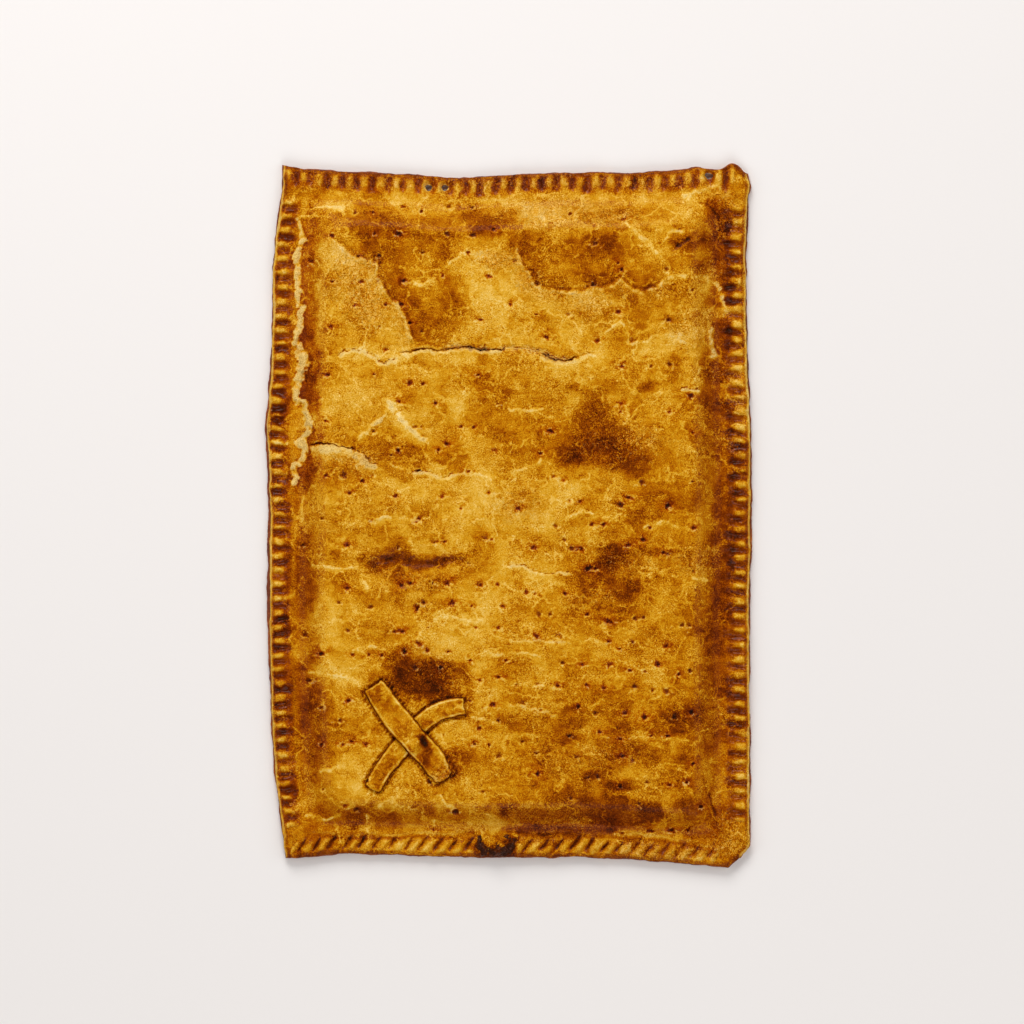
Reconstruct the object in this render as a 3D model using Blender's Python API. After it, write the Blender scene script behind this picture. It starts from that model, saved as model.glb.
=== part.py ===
# A whole tray-baked empanada: a filled, crimped sheet pie with a cross of dough strips on its lid.
# X is the width, Y the length and Z is up. The origin is under the middle, on the table.

import math

import bmesh
import bpy
from mathutils import Matrix, Vector

MM = 0.001

# Lid corners, and how far each side bows away from the straight line between them.
# The bows are read at even steps, left to right or bottom to top, and are positive along +X or +Y.
CORNERS = {
    "bottom_left": Vector((-115.4, -176.4)) * MM,
    "bottom_right": Vector((123.5, -181.5)) * MM,
    "top_left": Vector((-116.0, 178.6)) * MM,
    "top_right": Vector((123.0, 176.5)) * MM,
}
BOW_MM = {
    "bottom": (0, 3.1, 3.2, 2.8, 3.3, 4.1, 3.4, 1.6, 0),
    "top": (0, -1.4, -2.6, -4.2, -2.3, -1.1, -0.9, 1.1, 0),
    "left": (0, -4.5, -6.2, -6.7, -6.6, -7.2, -5.6, -4.5, 0),
    "right": (0, -0.5, -0.4, -0.8, -0.2, -0.2, -1.6, -2.3, 0),
}
WIDTH = 240 * MM
LENGTH = 356 * MM
TO_MIDDLE = Vector((0.436, 0.15, 0)) * MM

# Each corner is cut back along a direction, or pulled out where the cut is negative, over a reach
# along both its sides.
CORNER_CUTS = {
    "bottom_right": {"outwards": (0.634, -0.773), "cut": 7.4, "reach": 11.0},
    "bottom_left": {"outwards": (-0.7, -0.7), "cut": 0.5, "reach": 4.0},
    "top_left": {"outwards": (-0.1, 1.0), "cut": -1.6, "reach": 9.0},
    "top_right": {"outwards": (0.7, 0.7), "cut": 1.6, "reach": 5.0},
}
CORNER_DEPTH = 25 * MM

# Small lumps on the outline: side, distance along it, half width and how far out
KNOBS_MM = (
    ("top", 232.0, 4.6, 4.0),
    ("top", 214.0, 5.0, 1.2),
    ("right", 348.0, 3.0, 1.0),
    ("bottom", 137.0, 3.0, 0.7),
    ("left", 222.0, 8.0, 0.8),
)
KNOB_DEPTH = 9 * MM

# Heights
SHEET = 2.2 * MM
GAP = 0.3 * MM
LID_EDGE = 2.4 * MM
CROWN = 9.2 * MM
EDGE_LIFT = 1.3 * MM
EDGE_LIFT_REACH = 26 * MM
LIFT_WAVE = 110 * MM

# The sealed rim, from the outer edge inwards
RIM = 12.5 * MM
RISE = 17 * MM
EDGE_ROUNDING = 0.5 * MM
CRIMP_DEPTH = 1.3 * MM
CRIMP_END = 1.4 * MM
CORNER_FAN = 19 * MM

# Crimp marks on each side: the middle of the first and last mark along it, their count, where each
# begins and ends across the rim, and how far it leans along the side for each unit inwards.
CRIMPS = {
    "bottom": {"first": 8.7, "last": 219.0, "count": 28, "outer": 2.4, "inner": 8.8, "lean": 0.45},
    "right": {"first": 28.3, "last": 334.1, "count": 42, "outer": 2.0, "inner": 11.0, "lean": 0.0},
    "top": {"first": 6.6, "last": 228.3, "count": 29, "outer": 1.8, "inner": 8.6, "lean": 0.0},
    "left": {"first": 20.6, "last": 335.4, "count": 44, "outer": 1.8, "inner": 9.8, "lean": 0.0},
}
CRIMP_UNEVEN = 0.12
SQUASHED = {"from": 180 * MM, "over": 8 * MM, "depth": 0.35}
LAND_SHARE = 0.36
GROOVE_SHARE = 0.68
PLAIN_STEP = 2.6 * MM

# Broad bulges and hollows of the lid: x, y, half width, half length and height, in millimetres
BULGES_MM = (
    (-15, 112, 62, 34, 1.9),
    (66, 124, 36, 30, 1.2),
    (-82, 108, 26, 42, -0.9),
    (-62, 62, 44, 22, 1.1),
    (28, 72, 58, 16, 0.9),
    (44, 47, 20, 17, -1.7),
    (80, 36, 26, 44, 0.7),
    (-66, 12, 38, 20, 0.9),
    (2, 8, 34, 22, 0.8),
    (54, -24, 24, 13, -1.5),
    (-56, -25, 30, 9, -1.5),
    (-66, -62, 34, 26, 1.0),
    (8, -72, 52, 36, 1.3),
    (-34, -82, 20, 12, -1.1),
    (74, -98, 34, 44, 0.9),
    (-76, -142, 34, 18, 0.8),
    (24, -150, 60, 16, 0.8),
)

# Cracks and folds in the lid, as points on the lid, with the width and depth of the cut
CRACKS_MM = {
    "long_crack": {
        "points": ((-90, 82.3), (-83, 84.5), (-73, 83.6), (-65.7, 78.5), (-57.6, 82.8), (-45.7, 86.6),
                   (-23.4, 86.6), (-4.7, 85.8), (8, 86.6), (18.2, 82.3), (27.6, 79.4), (35.3, 81.9),
                   (43.8, 83.6)),
        "width": 2.6,
        "depth": 2.4,
    },
    "side_crack": {
        "points": ((-103.8, 35.6), (-91.8, 36.4), (-83.2, 34.8), (-74.7, 31.3), (-67.9, 26.6), (-50.8, 22.8),
                   (-40.5, 21.9), (-20.9, 22.8)),
        "width": 1.9,
        "depth": 1.5,
    },
    "upper_fold": {
        "points": ((-94.3, 143), (-86.7, 139.6), (-78.1, 132.7), (-67.5, 129.3), (-65.3, 119),
                   (-56.8, 108.8), (-52.1, 97.7), (-48.2, 90.4)),
        "width": 2.6,
        "depth": 1.1,
    },
    "right_fold": {
        "points": ((6.2, 130), (12.2, 120), (17.3, 117.4), (31.8, 114.8), (48.9, 117.4), (57.4, 121.6),
                   (63.4, 116.5), (68.5, 115.2), (76.3, 118.2), (83.1, 122.9), (98.5, 122.9)),
        "width": 2.4,
        "depth": 1.0,
    },
    "edge_split": {
        "points": ((-108.4, 154), (-106.3, 142), (-108.8, 133), (-109, 118), (-106.7, 107), (-110.6, 90),
                   (-105.7, 80), (-109.7, 60), (-103, 48), (-106, 35), (-111, 20), (-110, 8)),
        "width": 2.8,
        "depth": 1.0,
    },
    "right_split": {
        "points": ((105.7, 121.6), (110.4, 108.8), (111.7, 104), (105.9, 93), (105.3, 80.6)),
        "width": 1.8,
        "depth": 0.9,
    },
}

# Tine holes that go right through the rim: x and y
PIERCED_MM = ((-41.4, 168.6), (-32.6, 168.6), (102.8, 174.4))
PIERCED_RADIUS = 1.2 * MM

# The bottom sheet stands out past the lid by this much, read at even steps as the bows are
OVERHANG_MM = {
    "bottom": (0.3, 0.3, 0.2, 0.3, 0.3, 0.2, 0.3, 0.2, 0.3),
    "top": (0.3, 0.3, 0.2, 0.3, 0.2, 0.3, 0.2, 0.3, 0.3),
    "left": (0.3, 0.8, 1.5, 2.4, 1.8, 1.9, 0.9, 0.9, 0.3),
    "right": (0.4, 0.9, 0.8, 1.3, 1.7, 1.3, 1.0, 1.2, 0.4),
}
SHEET_STEP = 6 * MM

# The cross: the middle line of each strip, its half width along it, and its thickness
STRIPS_MM = {
    "strip_under": {
        "points": ((-70.6, -140.6), (-64.1, -129), (-55.5, -118.5), (-46.6, -108.3), (-35.9, -100.5),
                   (-22.9, -97.9)),
        "half_width": (4.6, 5.1, 5.2, 5.1, 5.1, 5.0),
        "thickness": 1.9,
    },
    "strip_over": {
        "points": ((-70, -87.2), (-63.3, -97.3), (-55.9, -106.9), (-47.9, -116.1), (-39.8, -125.2),
                   (-33.2, -135.7)),
        "half_width": (5.9, 6.5, 7.0, 7.0, 7.0, 6.0),
        "thickness": 2.3,
    },
}
STRIP_STEPS = 14
STRIP_SUNK = 2.5 * MM
STRIP_SHOULDER = 0.72

# Filling that leaked onto the rim at the near side and burnt there
LEAK_MM = {"x": -6.5, "y": -169.9, "radii": (9.8, 4.5, 2.2), "above": 6.0, "flat_below": -0.5}

COLOURS = {
    "top_crust": (0.56, 0.25, 0.02, 0.42, 0.0),
    "bottom_crust": (0.45, 0.22, 0.06, 0.70, 0.0),
    "strip_over": (0.60, 0.29, 0.03, 0.45, 0.0),
    "strip_under": (0.58, 0.27, 0.03, 0.45, 0.0),
    "leaked_filling": (0.06, 0.02, 0.01, 0.25, 0.0),
}


def through(values, t):
    """A smooth value at t, from 0 to 1, on the curve through evenly spaced values."""
    last = len(values) - 1
    place = min(max(t, 0.0), 1.0) * last
    i = min(int(place), last - 1)
    f = place - i
    a, b, c, d = (values[min(max(i + k, 0), last)] for k in (-1, 0, 1, 2))
    return b + 0.5 * f * (c - a + f * (2 * a - 5 * b + 4 * c - d + f * (3 * (b - c) + d - a)))


def smoothstep(x):
    x = min(max(x, 0.0), 1.0)
    return x * x * (3 - 2 * x)


def edge_distance(p, q):
    """The distance to the nearest side of the flat lid, softened near the corners."""
    soft = 4 * MM
    return -soft * math.log(sum(math.exp(-d / soft) for d in (p, WIDTH - p, q, LENGTH - q)))


def lid_place(p, q):
    """Where a point of the flat lid, p across and q along, lies in X and Y."""
    u, v = p / WIDTH, q / LENGTH
    low = CORNERS["bottom_left"].lerp(CORNERS["bottom_right"], u)
    high = CORNERS["top_left"].lerp(CORNERS["top_right"], u)
    place = low.lerp(high, v)
    place.x += MM * ((1 - u) * through(BOW_MM["left"], v) + u * through(BOW_MM["right"], v))
    place.y += MM * ((1 - v) * through(BOW_MM["bottom"], u) + v * through(BOW_MM["top"], u))
    return place + corner_shift(p, q) + knob_shift(p, q)


def corner_shift(p, q):
    """How far the torn and pinched corners move a point. It fades inwards."""
    shift = Vector((0, 0))
    for corner, shape in CORNER_CUTS.items():
        across = p if "left" in corner else WIDTH - p
        along = q if "bottom" in corner else LENGTH - q
        near = max(0.0, 1 - abs(across - along) / (shape["reach"] * MM))
        deep = max(0.0, 1 - min(across, along) / CORNER_DEPTH)
        shift -= Vector(shape["outwards"]).normalized() * (shape["cut"] * MM * near * deep)
    return shift


def knob_shift(p, q):
    """How far the small lumps of the outline move a point."""
    shift = Vector((0, 0))
    for side, at, half, out in KNOBS_MM:
        along, inset = (p, min(q, LENGTH - q)) if side in ("bottom", "top") else (q, min(p, WIDTH - p))
        towards = {"bottom": (0, -1), "top": (0, 1), "left": (-1, 0), "right": (1, 0)}[side]
        same_side = (p - WIDTH / 2) * towards[0] + (q - LENGTH / 2) * towards[1] > 0
        if same_side:
            bump = math.exp(-(((along / MM) - at) / half) ** 2) * smoothstep(1 - inset / KNOB_DEPTH)
            shift += Vector(towards) * (out * MM * bump)
    return shift


def rim_lift(p, q):
    """The rim lifts off the table in long waves, most along the near side."""
    near = smoothstep(1 - edge_distance(p, q) / EDGE_LIFT_REACH)
    wave = 0.25 * math.sin(math.tau * p / LIFT_WAVE + 1.0) * math.cos(math.tau * q / LIFT_WAVE)
    return EDGE_LIFT * near * (0.45 + wave + 0.3 * (1 - q / LENGTH))


def bulge(x, y):
    height = 0.0
    for bx, by, wide, long, tall in BULGES_MM:
        reach = ((x / MM - bx) / wide) ** 2 + ((y / MM - by) / long) ** 2
        height += tall * MM * math.exp(-1.4 * reach)
    return height


def lid_height(p, q):
    """The top of the lid without its crimps."""
    place = lid_place(p, q)
    inwards = edge_distance(p, q)
    rise = smoothstep((inwards - RIM) / RISE)
    edge = EDGE_ROUNDING * (1 - smoothstep(inwards / (1.5 * MM)))
    crown = rise * (CROWN + bulge(place.x, place.y))
    return SHEET + GAP + LID_EDGE - edge + crown + rim_lift(p, q)


def side_stations(side, length):
    """Stations along one side: the distance from its start, and 1 where a crimp is pressed in."""
    row = CRIMPS[side]
    count = row["count"]
    pitch = (row["last"] - row["first"]) * MM / (count - 1)
    start = row["first"] * MM - GROOVE_SHARE * pitch
    stop = start + count * pitch
    found = even_steps(0.0, start, PLAIN_STEP)
    for k in range(count):
        at = start + k * pitch
        deep = 1 + CRIMP_UNEVEN * math.sin(2.3 * k + length / MM)
        if side == "bottom":
            deep *= 1 - (1 - SQUASHED["depth"]) * smoothstep((at - SQUASHED["from"]) / SQUASHED["over"])
        found += [(at, 0.0), (at + LAND_SHARE * pitch, 0.0), (at + GROOVE_SHARE * pitch, deep)]
    return found + even_steps(stop, length, PLAIN_STEP)


def even_steps(start, stop, step):
    count = max(1, round((stop - start) / step))
    return [(start + (stop - start) * k / count, 0.0) for k in range(count)]


def round_the_edge(make_side):
    """Stations anticlockwise round the flat lid: side, distance from the side's low end, and crimp."""
    stations = []
    for side in ("bottom", "right", "top", "left"):
        length = WIDTH if side in ("bottom", "top") else LENGTH
        along = make_side(side, length)
        if side in ("top", "left"):
            along = [(length, 0.0)] + [s for s in reversed(along) if s[0] > 0]
        stations += [(side, at, pressed) for at, pressed in along]
    return stations


def station_point(station, inset, lean=0.0):
    """The flat point of a station, moved in from its side. Near a corner the stations fan out."""
    side, at, _ = station
    length = WIDTH if side in ("bottom", "top") else LENGTH
    at += inset * (math.exp(-at / CORNER_FAN) - math.exp(-(length - at) / CORNER_FAN)) + lean
    return {
        "bottom": (at, inset),
        "top": (at, LENGTH - inset),
        "left": (inset, at),
        "right": (WIDTH - inset, at),
    }[side]


def crimp_insets(station):
    """The distances in from the edge of the rows that a crimp needs, and how much each is pressed."""
    row = CRIMPS[station[0]]
    outer, inner = row["outer"] * MM, row["inner"] * MM
    return ((outer, 0.0), (outer + CRIMP_END, 1.0), (inner - CRIMP_END, 1.0), (inner, 0.0), (RIM, 0.0))


def edge_loop(bm, points):
    verts = [bm.verts.new((p, q, 0)) for p, q in points]
    return [bm.edges.new((verts[k - 1], verts[k])) for k in range(len(verts))]


def flat_net(stations, rows, margin, cell):
    """A flat sheet: a row of faces for each of rows, which place a station, then a grid of cells."""
    bm = bmesh.new()
    number = bm.verts.layers.int.new("station")
    pressed = bm.verts.layers.float.new("pressed")
    edges = edge_loop(bm, [station_point(s, 0.0) for s in stations])
    for k, edge in enumerate(edges):
        edge.verts[1][number] = k
    for row in rows:
        grown = bmesh.ops.extrude_edge_only(bm, edges=edges)["geom"]
        edges = [g for g in grown if isinstance(g, bmesh.types.BMEdge)]
        edges = [e for e in edges if len(e.link_faces) == 1]
        for vert in {v for e in edges for v in e.verts}:
            point, press = row(stations[vert[number]])
            vert.co = (*point, 0)
            vert[pressed] = press
    centre_grid(bm, edges, margin, cell)
    return bm, pressed


def centre_grid(bm, edges, margin, cell):
    """Fills the sheet inside these edges with a grid, and the strip between them with triangles."""
    wide, long = WIDTH - 2 * margin, LENGTH - 2 * margin
    frame = Matrix.Translation((WIDTH / 2, LENGTH / 2, 0)) @ Matrix.Diagonal((wide, long, 1, 1))
    columns, rows = max(1, round(wide / cell)), max(1, round(long / cell))
    made = bmesh.ops.create_grid(bm, x_segments=columns, y_segments=rows, size=0.5, matrix=frame)
    around = {e for v in made["verts"] for e in v.link_edges if len(e.link_faces) == 1}
    bmesh.ops.triangle_fill(bm, use_beauty=True, edges=edges + list(around), normal=(0, 0, 1))


def open_edges(bm):
    return [e for e in bm.edges if len(e.link_faces) == 1]


def lid_rows():
    """One function for each row of the rim, from a station to its flat point and how far it is pressed."""
    def make(k):
        def row(station):
            inset, press = crimp_insets(station)[k]
            lean = CRIMPS[station[0]]["lean"] * (inset - 5 * MM) * math.exp(-((k - 1.5) / 2.2) ** 4)
            return station_point(station, inset, lean if 0 < k < 4 else 0.0), press * station[2]
        return row
    return [make(k) for k in range(5)]


def plain_row(inset):
    return lambda station: (station_point(station, inset), 0.0)


def new_object(bm, name):
    bmesh.ops.triangulate(bm, faces=bm.faces[:])
    bmesh.ops.recalc_face_normals(bm, faces=bm.faces[:])
    mesh = bpy.data.meshes.new(name)
    bm.to_mesh(mesh)
    bm.free()
    mesh.shade_smooth()
    mesh.set_sharp_from_angle(angle=math.radians(35))
    made = bpy.data.objects.new(name, mesh)
    bpy.context.scene.collection.objects.link(made)
    return made


def closed_shell(name, top, bottom, place_top, place_bottom):
    """A solid between two flat nets with the same stations, each vertex placed by its function."""
    sheet, pressed = top
    rim = open_edges(sheet)
    under = sheet.verts.layers.int.new("under")
    grown = bmesh.ops.extrude_edge_only(sheet, edges=rim)["geom"]
    for vert in (g for g in grown if isinstance(g, bmesh.types.BMVert)):
        vert[under] = 1
    for vert in sheet.verts:
        place = place_bottom if vert[under] else place_top
        vert.co = place(vert.co.x, vert.co.y, vert[pressed])
    lower, lower_pressed = bottom
    for vert in lower.verts:
        vert.co = place_bottom(vert.co.x, vert.co.y, 0.0)
    mesh = bpy.data.meshes.new(name + "_under")
    lower.to_mesh(mesh)
    lower.free()
    sheet.from_mesh(mesh)
    bpy.data.meshes.remove(mesh)
    bmesh.ops.remove_doubles(sheet, verts=sheet.verts[:], dist=0.02 * MM)
    return new_object(sheet, name)


def cut(target, cutter):
    """Cuts one object out of another and removes the cutter."""
    modifier = target.modifiers.new("cut", "BOOLEAN")
    modifier.operation = "DIFFERENCE"
    modifier.solver = "EXACT"
    modifier.object = cutter
    graph = bpy.context.evaluated_depsgraph_get()
    mesh = bpy.data.meshes.new_from_object(target.evaluated_get(graph))
    target.modifiers.clear()
    target.data = mesh
    bpy.data.objects.remove(cutter)


def crack_cutter(crack):
    """A wedge that follows a crack, widest in its middle and pointed downwards."""
    bm = bmesh.new()
    points = [Vector(point) * MM for point in crack["points"]]
    rows = []
    for k, point in enumerate(points):
        ahead = points[min(k + 1, len(points) - 1)] - points[max(k - 1, 0)]
        across = Vector((-ahead.y, ahead.x)).normalized()
        share = math.sin(math.pi * (k + 0.5) / len(points)) ** 0.5
        half = 0.5 * crack["width"] * MM * share
        top = surface_height(point) + 1.0 * MM
        low = surface_height(point) - crack["depth"] * MM * share
        rows.append([bm.verts.new((*(point - across * half), top)), bm.verts.new((*point, low)),
                     bm.verts.new((*(point + across * half), top))])
    for one, two in zip(rows, rows[1:]):
        for a in range(3):
            b = (a + 1) % 3
            bm.faces.new((one[a], two[a], two[b], one[b]))
    bm.faces.new(rows[0])
    bm.faces.new(rows[-1])
    return new_object(bm, "crack_cutter")


def surface_height(point):
    """The lid's height at an X and Y place, from the flat point that lands there."""
    p, q = point.x + WIDTH / 2, point.y + LENGTH / 2
    for _ in range(8):
        error = point - lid_place(p, q)
        p, q = p + error.x, q + error.y
    return lid_height(p, q)


def top_crust():
    """The lid and the filling hidden under it, which nothing in an uncut pie shows."""
    stations = round_the_edge(side_stations)

    def place_top(p, q, pressed):
        return Vector((*lid_place(p, q), lid_height(p, q) - CRIMP_DEPTH * pressed))

    def place_bottom(p, q, _):
        return Vector((*lid_place(p, q), SHEET + GAP + rim_lift(p, q)))

    top = flat_net(stations, lid_rows(), 20 * MM, 8 * MM)
    bottom = flat_net(stations, [], EDGE_LIFT_REACH, 30 * MM)
    crust = closed_shell("top_crust", top, bottom, place_top, place_bottom)
    for crack in CRACKS_MM.values():
        cut(crust, crack_cutter(crack))
    return crust


def plain_side(side, length):
    return even_steps(0.0, length, SHEET_STEP)


def bottom_crust():
    """The sheet under the filling. Its edge stands out past the lid, most at the left and right."""
    stations = round_the_edge(plain_side)

    def stretched(p, q):
        place = lid_place(p, q)
        u, v = p / WIDTH, q / LENGTH
        side_share = smoothstep(1 - min(p, WIDTH - p) / RIM)
        end_share = smoothstep(1 - min(q, LENGTH - q) / RIM)
        side = "left" if u < 0.5 else "right"
        end = "bottom" if v < 0.5 else "top"
        place.x += math.copysign(side_share * through(OVERHANG_MM[side], v) * MM, u - 0.5)
        place.y += math.copysign(end_share * through(OVERHANG_MM[end], u) * MM, v - 0.5)
        return place

    def place_top(p, q, _):
        return Vector((*stretched(p, q), SHEET + rim_lift(p, q)))

    def place_bottom(p, q, _):
        return Vector((*stretched(p, q), rim_lift(p, q)))

    rows = [plain_row(RIM)]
    top = flat_net(stations, rows, EDGE_LIFT_REACH, 30 * MM)
    bottom = flat_net(stations, rows, EDGE_LIFT_REACH, 30 * MM)
    return closed_shell("bottom_crust", top, bottom, place_top, place_bottom)


def strip_section(centre, across, half, base, thick, sunk):
    """Six corners of a strip's cross-section, with a flat top between soft shoulders."""
    corners = ((-1, 0.0), (1, 0.0), (1.0, 0.55), (STRIP_SHOULDER, 1.0), (-STRIP_SHOULDER, 1.0), (-1.0, 0.55))
    return [
        Vector((*(centre + across * half * side), base + (thick * up if up else -sunk)))
        for side, up in corners
    ]


def strip_object(name, over=None, grown=0.0):
    """A dough strip laid on the lid. Where it crosses another strip it is lifted by that one's thickness."""
    strip = STRIPS_MM[name]
    bm = bmesh.new()
    edges = []
    for k in range(STRIP_STEPS + 1):
        t = k / STRIP_STEPS
        centre = Vector([through([p[axis] for p in strip["points"]], t) * MM for axis in (0, 1)])
        step = 0.5 / STRIP_STEPS
        ahead = Vector([through([p[axis] for p in strip["points"]], t + step) for axis in (0, 1)])
        behind = Vector([through([p[axis] for p in strip["points"]], t - step) for axis in (0, 1)])
        across = Vector((ahead.y - behind.y, behind.x - ahead.x)).normalized()
        half = through(strip["half_width"], t) * MM + grown
        base = surface_height(centre) + (crossing_lift(centre, over) if over else 0.0)
        thick = strip["thickness"] * MM + grown
        corners = strip_section(centre, across, half, base, thick, STRIP_SUNK + grown)
        verts = [bm.verts.new(corner) for corner in corners]
        edges += [bm.edges.new((verts[n - 1], verts[n])) for n in range(len(verts))]
        if k in (0, STRIP_STEPS):
            bm.faces.new(verts)
    size = 6
    for k in range(STRIP_STEPS):
        bmesh.ops.bridge_loops(bm, edges=edges[k * size : (k + 2) * size])
    return new_object(bm, name)


def crossing_lift(centre, over):
    """How far the upper strip is held up by the lower one."""
    line = [Vector(p) * MM for p in STRIPS_MM[over]["points"]]
    nearest = min((centre - (a.lerp(b, k / 8))).length for a, b in zip(line, line[1:]) for k in range(9))
    reach = 5 * MM
    return (STRIPS_MM[over]["thickness"] * MM + GAP) * smoothstep(1.9 - nearest / reach)


def cut_clear(target, source):
    """Cuts a piece clear of another with a copy of that one, raised by the gap."""
    copy = source.copy()
    copy.data = source.data.copy()
    copy.data.transform(Matrix.Translation((0, 0, GAP)))
    bpy.context.scene.collection.objects.link(copy)
    cut(target, copy)


def leaked_filling():
    """A lumpy cake of burnt filling, stuck on the rim."""
    bm = bmesh.new()
    bmesh.ops.create_icosphere(bm, subdivisions=2, radius=1.0)
    for vert in bm.verts:
        x, y, z = vert.co
        z = max(z, LEAK_MM["flat_below"])
        lump = 1 + 0.12 * math.sin(5 * x + 2 * y) + 0.09 * math.sin(9 * y - 4 * x)
        vert.co = Vector([c * r * MM * lump for c, r in zip((x, y, z), LEAK_MM["radii"])])
        vert.co += Vector((LEAK_MM["x"] * MM, LEAK_MM["y"] * MM, LEAK_MM["above"] * MM))
    return new_object(bm, "leaked_filling")


def pierce(target):
    for x, y in PIERCED_MM:
        bm = bmesh.new()
        bmesh.ops.create_cone(
            bm, cap_ends=True, segments=8, radius1=PIERCED_RADIUS, radius2=PIERCED_RADIUS, depth=40 * MM,
            matrix=Matrix.Translation((x * MM, y * MM, 0)),
        )
        cut(target, new_object(bm, "tine"))


def paint(target):
    red, green, blue, roughness, metallic = COLOURS[target.name]
    material = bpy.data.materials.new(target.name)
    material.use_nodes = True
    shader = material.node_tree.nodes["Principled BSDF"]
    shader.inputs["Base Color"].default_value = (red, green, blue, 1)
    shader.inputs["Roughness"].default_value = roughness
    shader.inputs["Metallic"].default_value = metallic
    target.data.materials.clear()
    target.data.materials.append(material)


def build():
    for old in list(bpy.data.objects):
        bpy.data.objects.remove(old)
    crust = top_crust()
    sheet = bottom_crust()
    under = strip_object("strip_under")
    over = strip_object("strip_over", over="strip_under")
    cut(over, strip_object("strip_under", grown=GAP))
    cut_clear(under, crust)
    cut_clear(over, crust)
    leak = leaked_filling()
    cut_clear(leak, crust)
    for target in (crust, sheet):
        pierce(target)
    for target in (crust, sheet, under, over, leak):
        target.data.transform(Matrix.Translation(TO_MIDDLE))
        paint(target)


build()
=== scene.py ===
import math

import bmesh
import bpy
import numpy as np
from mathutils import Matrix, Vector


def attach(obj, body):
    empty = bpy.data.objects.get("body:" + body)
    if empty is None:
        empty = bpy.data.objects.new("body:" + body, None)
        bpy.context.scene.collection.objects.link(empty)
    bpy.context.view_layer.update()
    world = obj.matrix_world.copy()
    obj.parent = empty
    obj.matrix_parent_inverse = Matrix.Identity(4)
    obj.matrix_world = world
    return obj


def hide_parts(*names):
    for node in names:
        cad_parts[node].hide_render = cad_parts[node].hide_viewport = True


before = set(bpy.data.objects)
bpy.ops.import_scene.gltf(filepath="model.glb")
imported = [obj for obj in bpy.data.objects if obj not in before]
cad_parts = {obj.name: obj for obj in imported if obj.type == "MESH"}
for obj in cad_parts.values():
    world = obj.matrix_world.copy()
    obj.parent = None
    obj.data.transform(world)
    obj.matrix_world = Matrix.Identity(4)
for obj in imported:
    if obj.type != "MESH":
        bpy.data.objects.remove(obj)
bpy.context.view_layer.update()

mm = 0.001
print("frame loaded:", ", ".join(sorted(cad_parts)))

# Marks on the crust are noted in the reference picture's pixels, read off it. The picture's middle
# is the pie's, apart from a small shift in millimetres.
reference = {"mmPerPixel": 0.515, "middle": (509.5, 515.5), "shift": (0.436, 0.15)}


def onPie(marks):  # reference pixels to millimetres on the pie
    spots = np.atleast_2d(np.array(marks, float))[:, :2] - reference["middle"]
    return spots * (reference["mmPerPixel"], -reference["mmPerPixel"]) + reference["shift"]


# shared maths
def smooth(value):  # 0 to 1 with a soft start and end
    value = np.clip(value, 0, 1)
    return value * value * (3 - 2 * value)


def bell(away, width=1.0, power=2):  # 1 in the middle, nearly 0 at twice the width
    return np.exp(-(away / width) ** power)


def through(values, t):  # the curve through evenly spaced values
    values = np.array(values, float)
    last = len(values) - 1
    place = np.clip(t, 0, 1) * last
    i = np.minimum(place.astype(int), last - 1)
    f = place - i
    a, b, c, d = (values[np.clip(i + k, 0, last)] for k in (-1, 0, 1, 2))
    return b + 0.5 * f * (c - a + f * (2 * a - 5 * b + 4 * c - d + f * (3 * (b - c) + d - a)))


def cloud(x, y, size, seed, octaves=3):  # soft noise between about -1 and 1, with features of this size
    total, weight, reach = np.zeros(np.shape(x)), 1.0, 0.0
    for k in range(octaves):
        table = np.random.default_rng(seed * 17 + k).uniform(-1, 1, (128, 128))
        turn = 0.7 + 1.3 * k + seed
        u = (x * math.cos(turn) - y * math.sin(turn)) / size + 40
        v = (x * math.sin(turn) + y * math.cos(turn)) / size + 40
        i, j = np.floor(u).astype(int), np.floor(v).astype(int)
        f, g = smooth(u - i), smooth(v - j)
        i0, i1, j0, j1 = i % 128, (i + 1) % 128, j % 128, (j + 1) % 128
        low = table[i0, j0] * (1 - f) + table[i1, j0] * f
        high = table[i0, j1] * (1 - f) + table[i1, j1] * f
        total += weight * (low * (1 - g) + high * g)
        reach += weight
        weight, size = weight * 0.55, size * 0.5
    return total / reach * 1.6


def smoothLine(points, pieces=4, wander=0.0, seed=1):  # through points in millimetres, a little shaky
    points = np.array(points, float)
    t = np.linspace(0, 1, (len(points) - 1) * pieces + 1)
    line = np.stack([through(points[:, 0], t), through(points[:, 1], t)], axis=1)
    shake = np.random.default_rng(seed).normal(0, wander, line.shape)
    shake[0] = shake[-1] = 0
    return line + shake


def nearLine(x, y, line, reach):  # distance to a line, side (+1 is left of its run) and how far along, 0 to 1
    best = np.full(x.shape, reach * 1.5)
    side, along = np.ones(x.shape), np.zeros(x.shape)
    low, high = line.min(0) - reach, line.max(0) + reach
    near = np.nonzero((x > low[0]) & (x < high[0]) & (y > low[1]) & (y < high[1]))[0]
    if not len(near):
        return best, side, along
    px, py = x[near], y[near]
    least, found, where = np.full(len(near), 1e9), np.ones(len(near)), np.zeros(len(near))
    lengths = np.hypot(*np.diff(line, axis=0).T)
    starts = np.concatenate([[0], np.cumsum(lengths)])
    for k in range(len(line) - 1):
        a, run, length = line[k], line[k + 1] - line[k], max(lengths[k], 1e-6)
        t = np.clip(((px - a[0]) * run[0] + (py - a[1]) * run[1]) / length ** 2, 0, 1)
        dx, dy = px - a[0] - t * run[0], py - a[1] - t * run[1]
        gap = np.hypot(dx, dy)
        closer = gap < least
        least[closer] = gap[closer]
        found[closer] = np.sign(run[0] * dy - run[1] * dx)[closer]
        where[closer] = ((starts[k] + t * length) / starts[-1])[closer]
    best[near], side[near], along[near] = least, found, where
    return best, side, along


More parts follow.
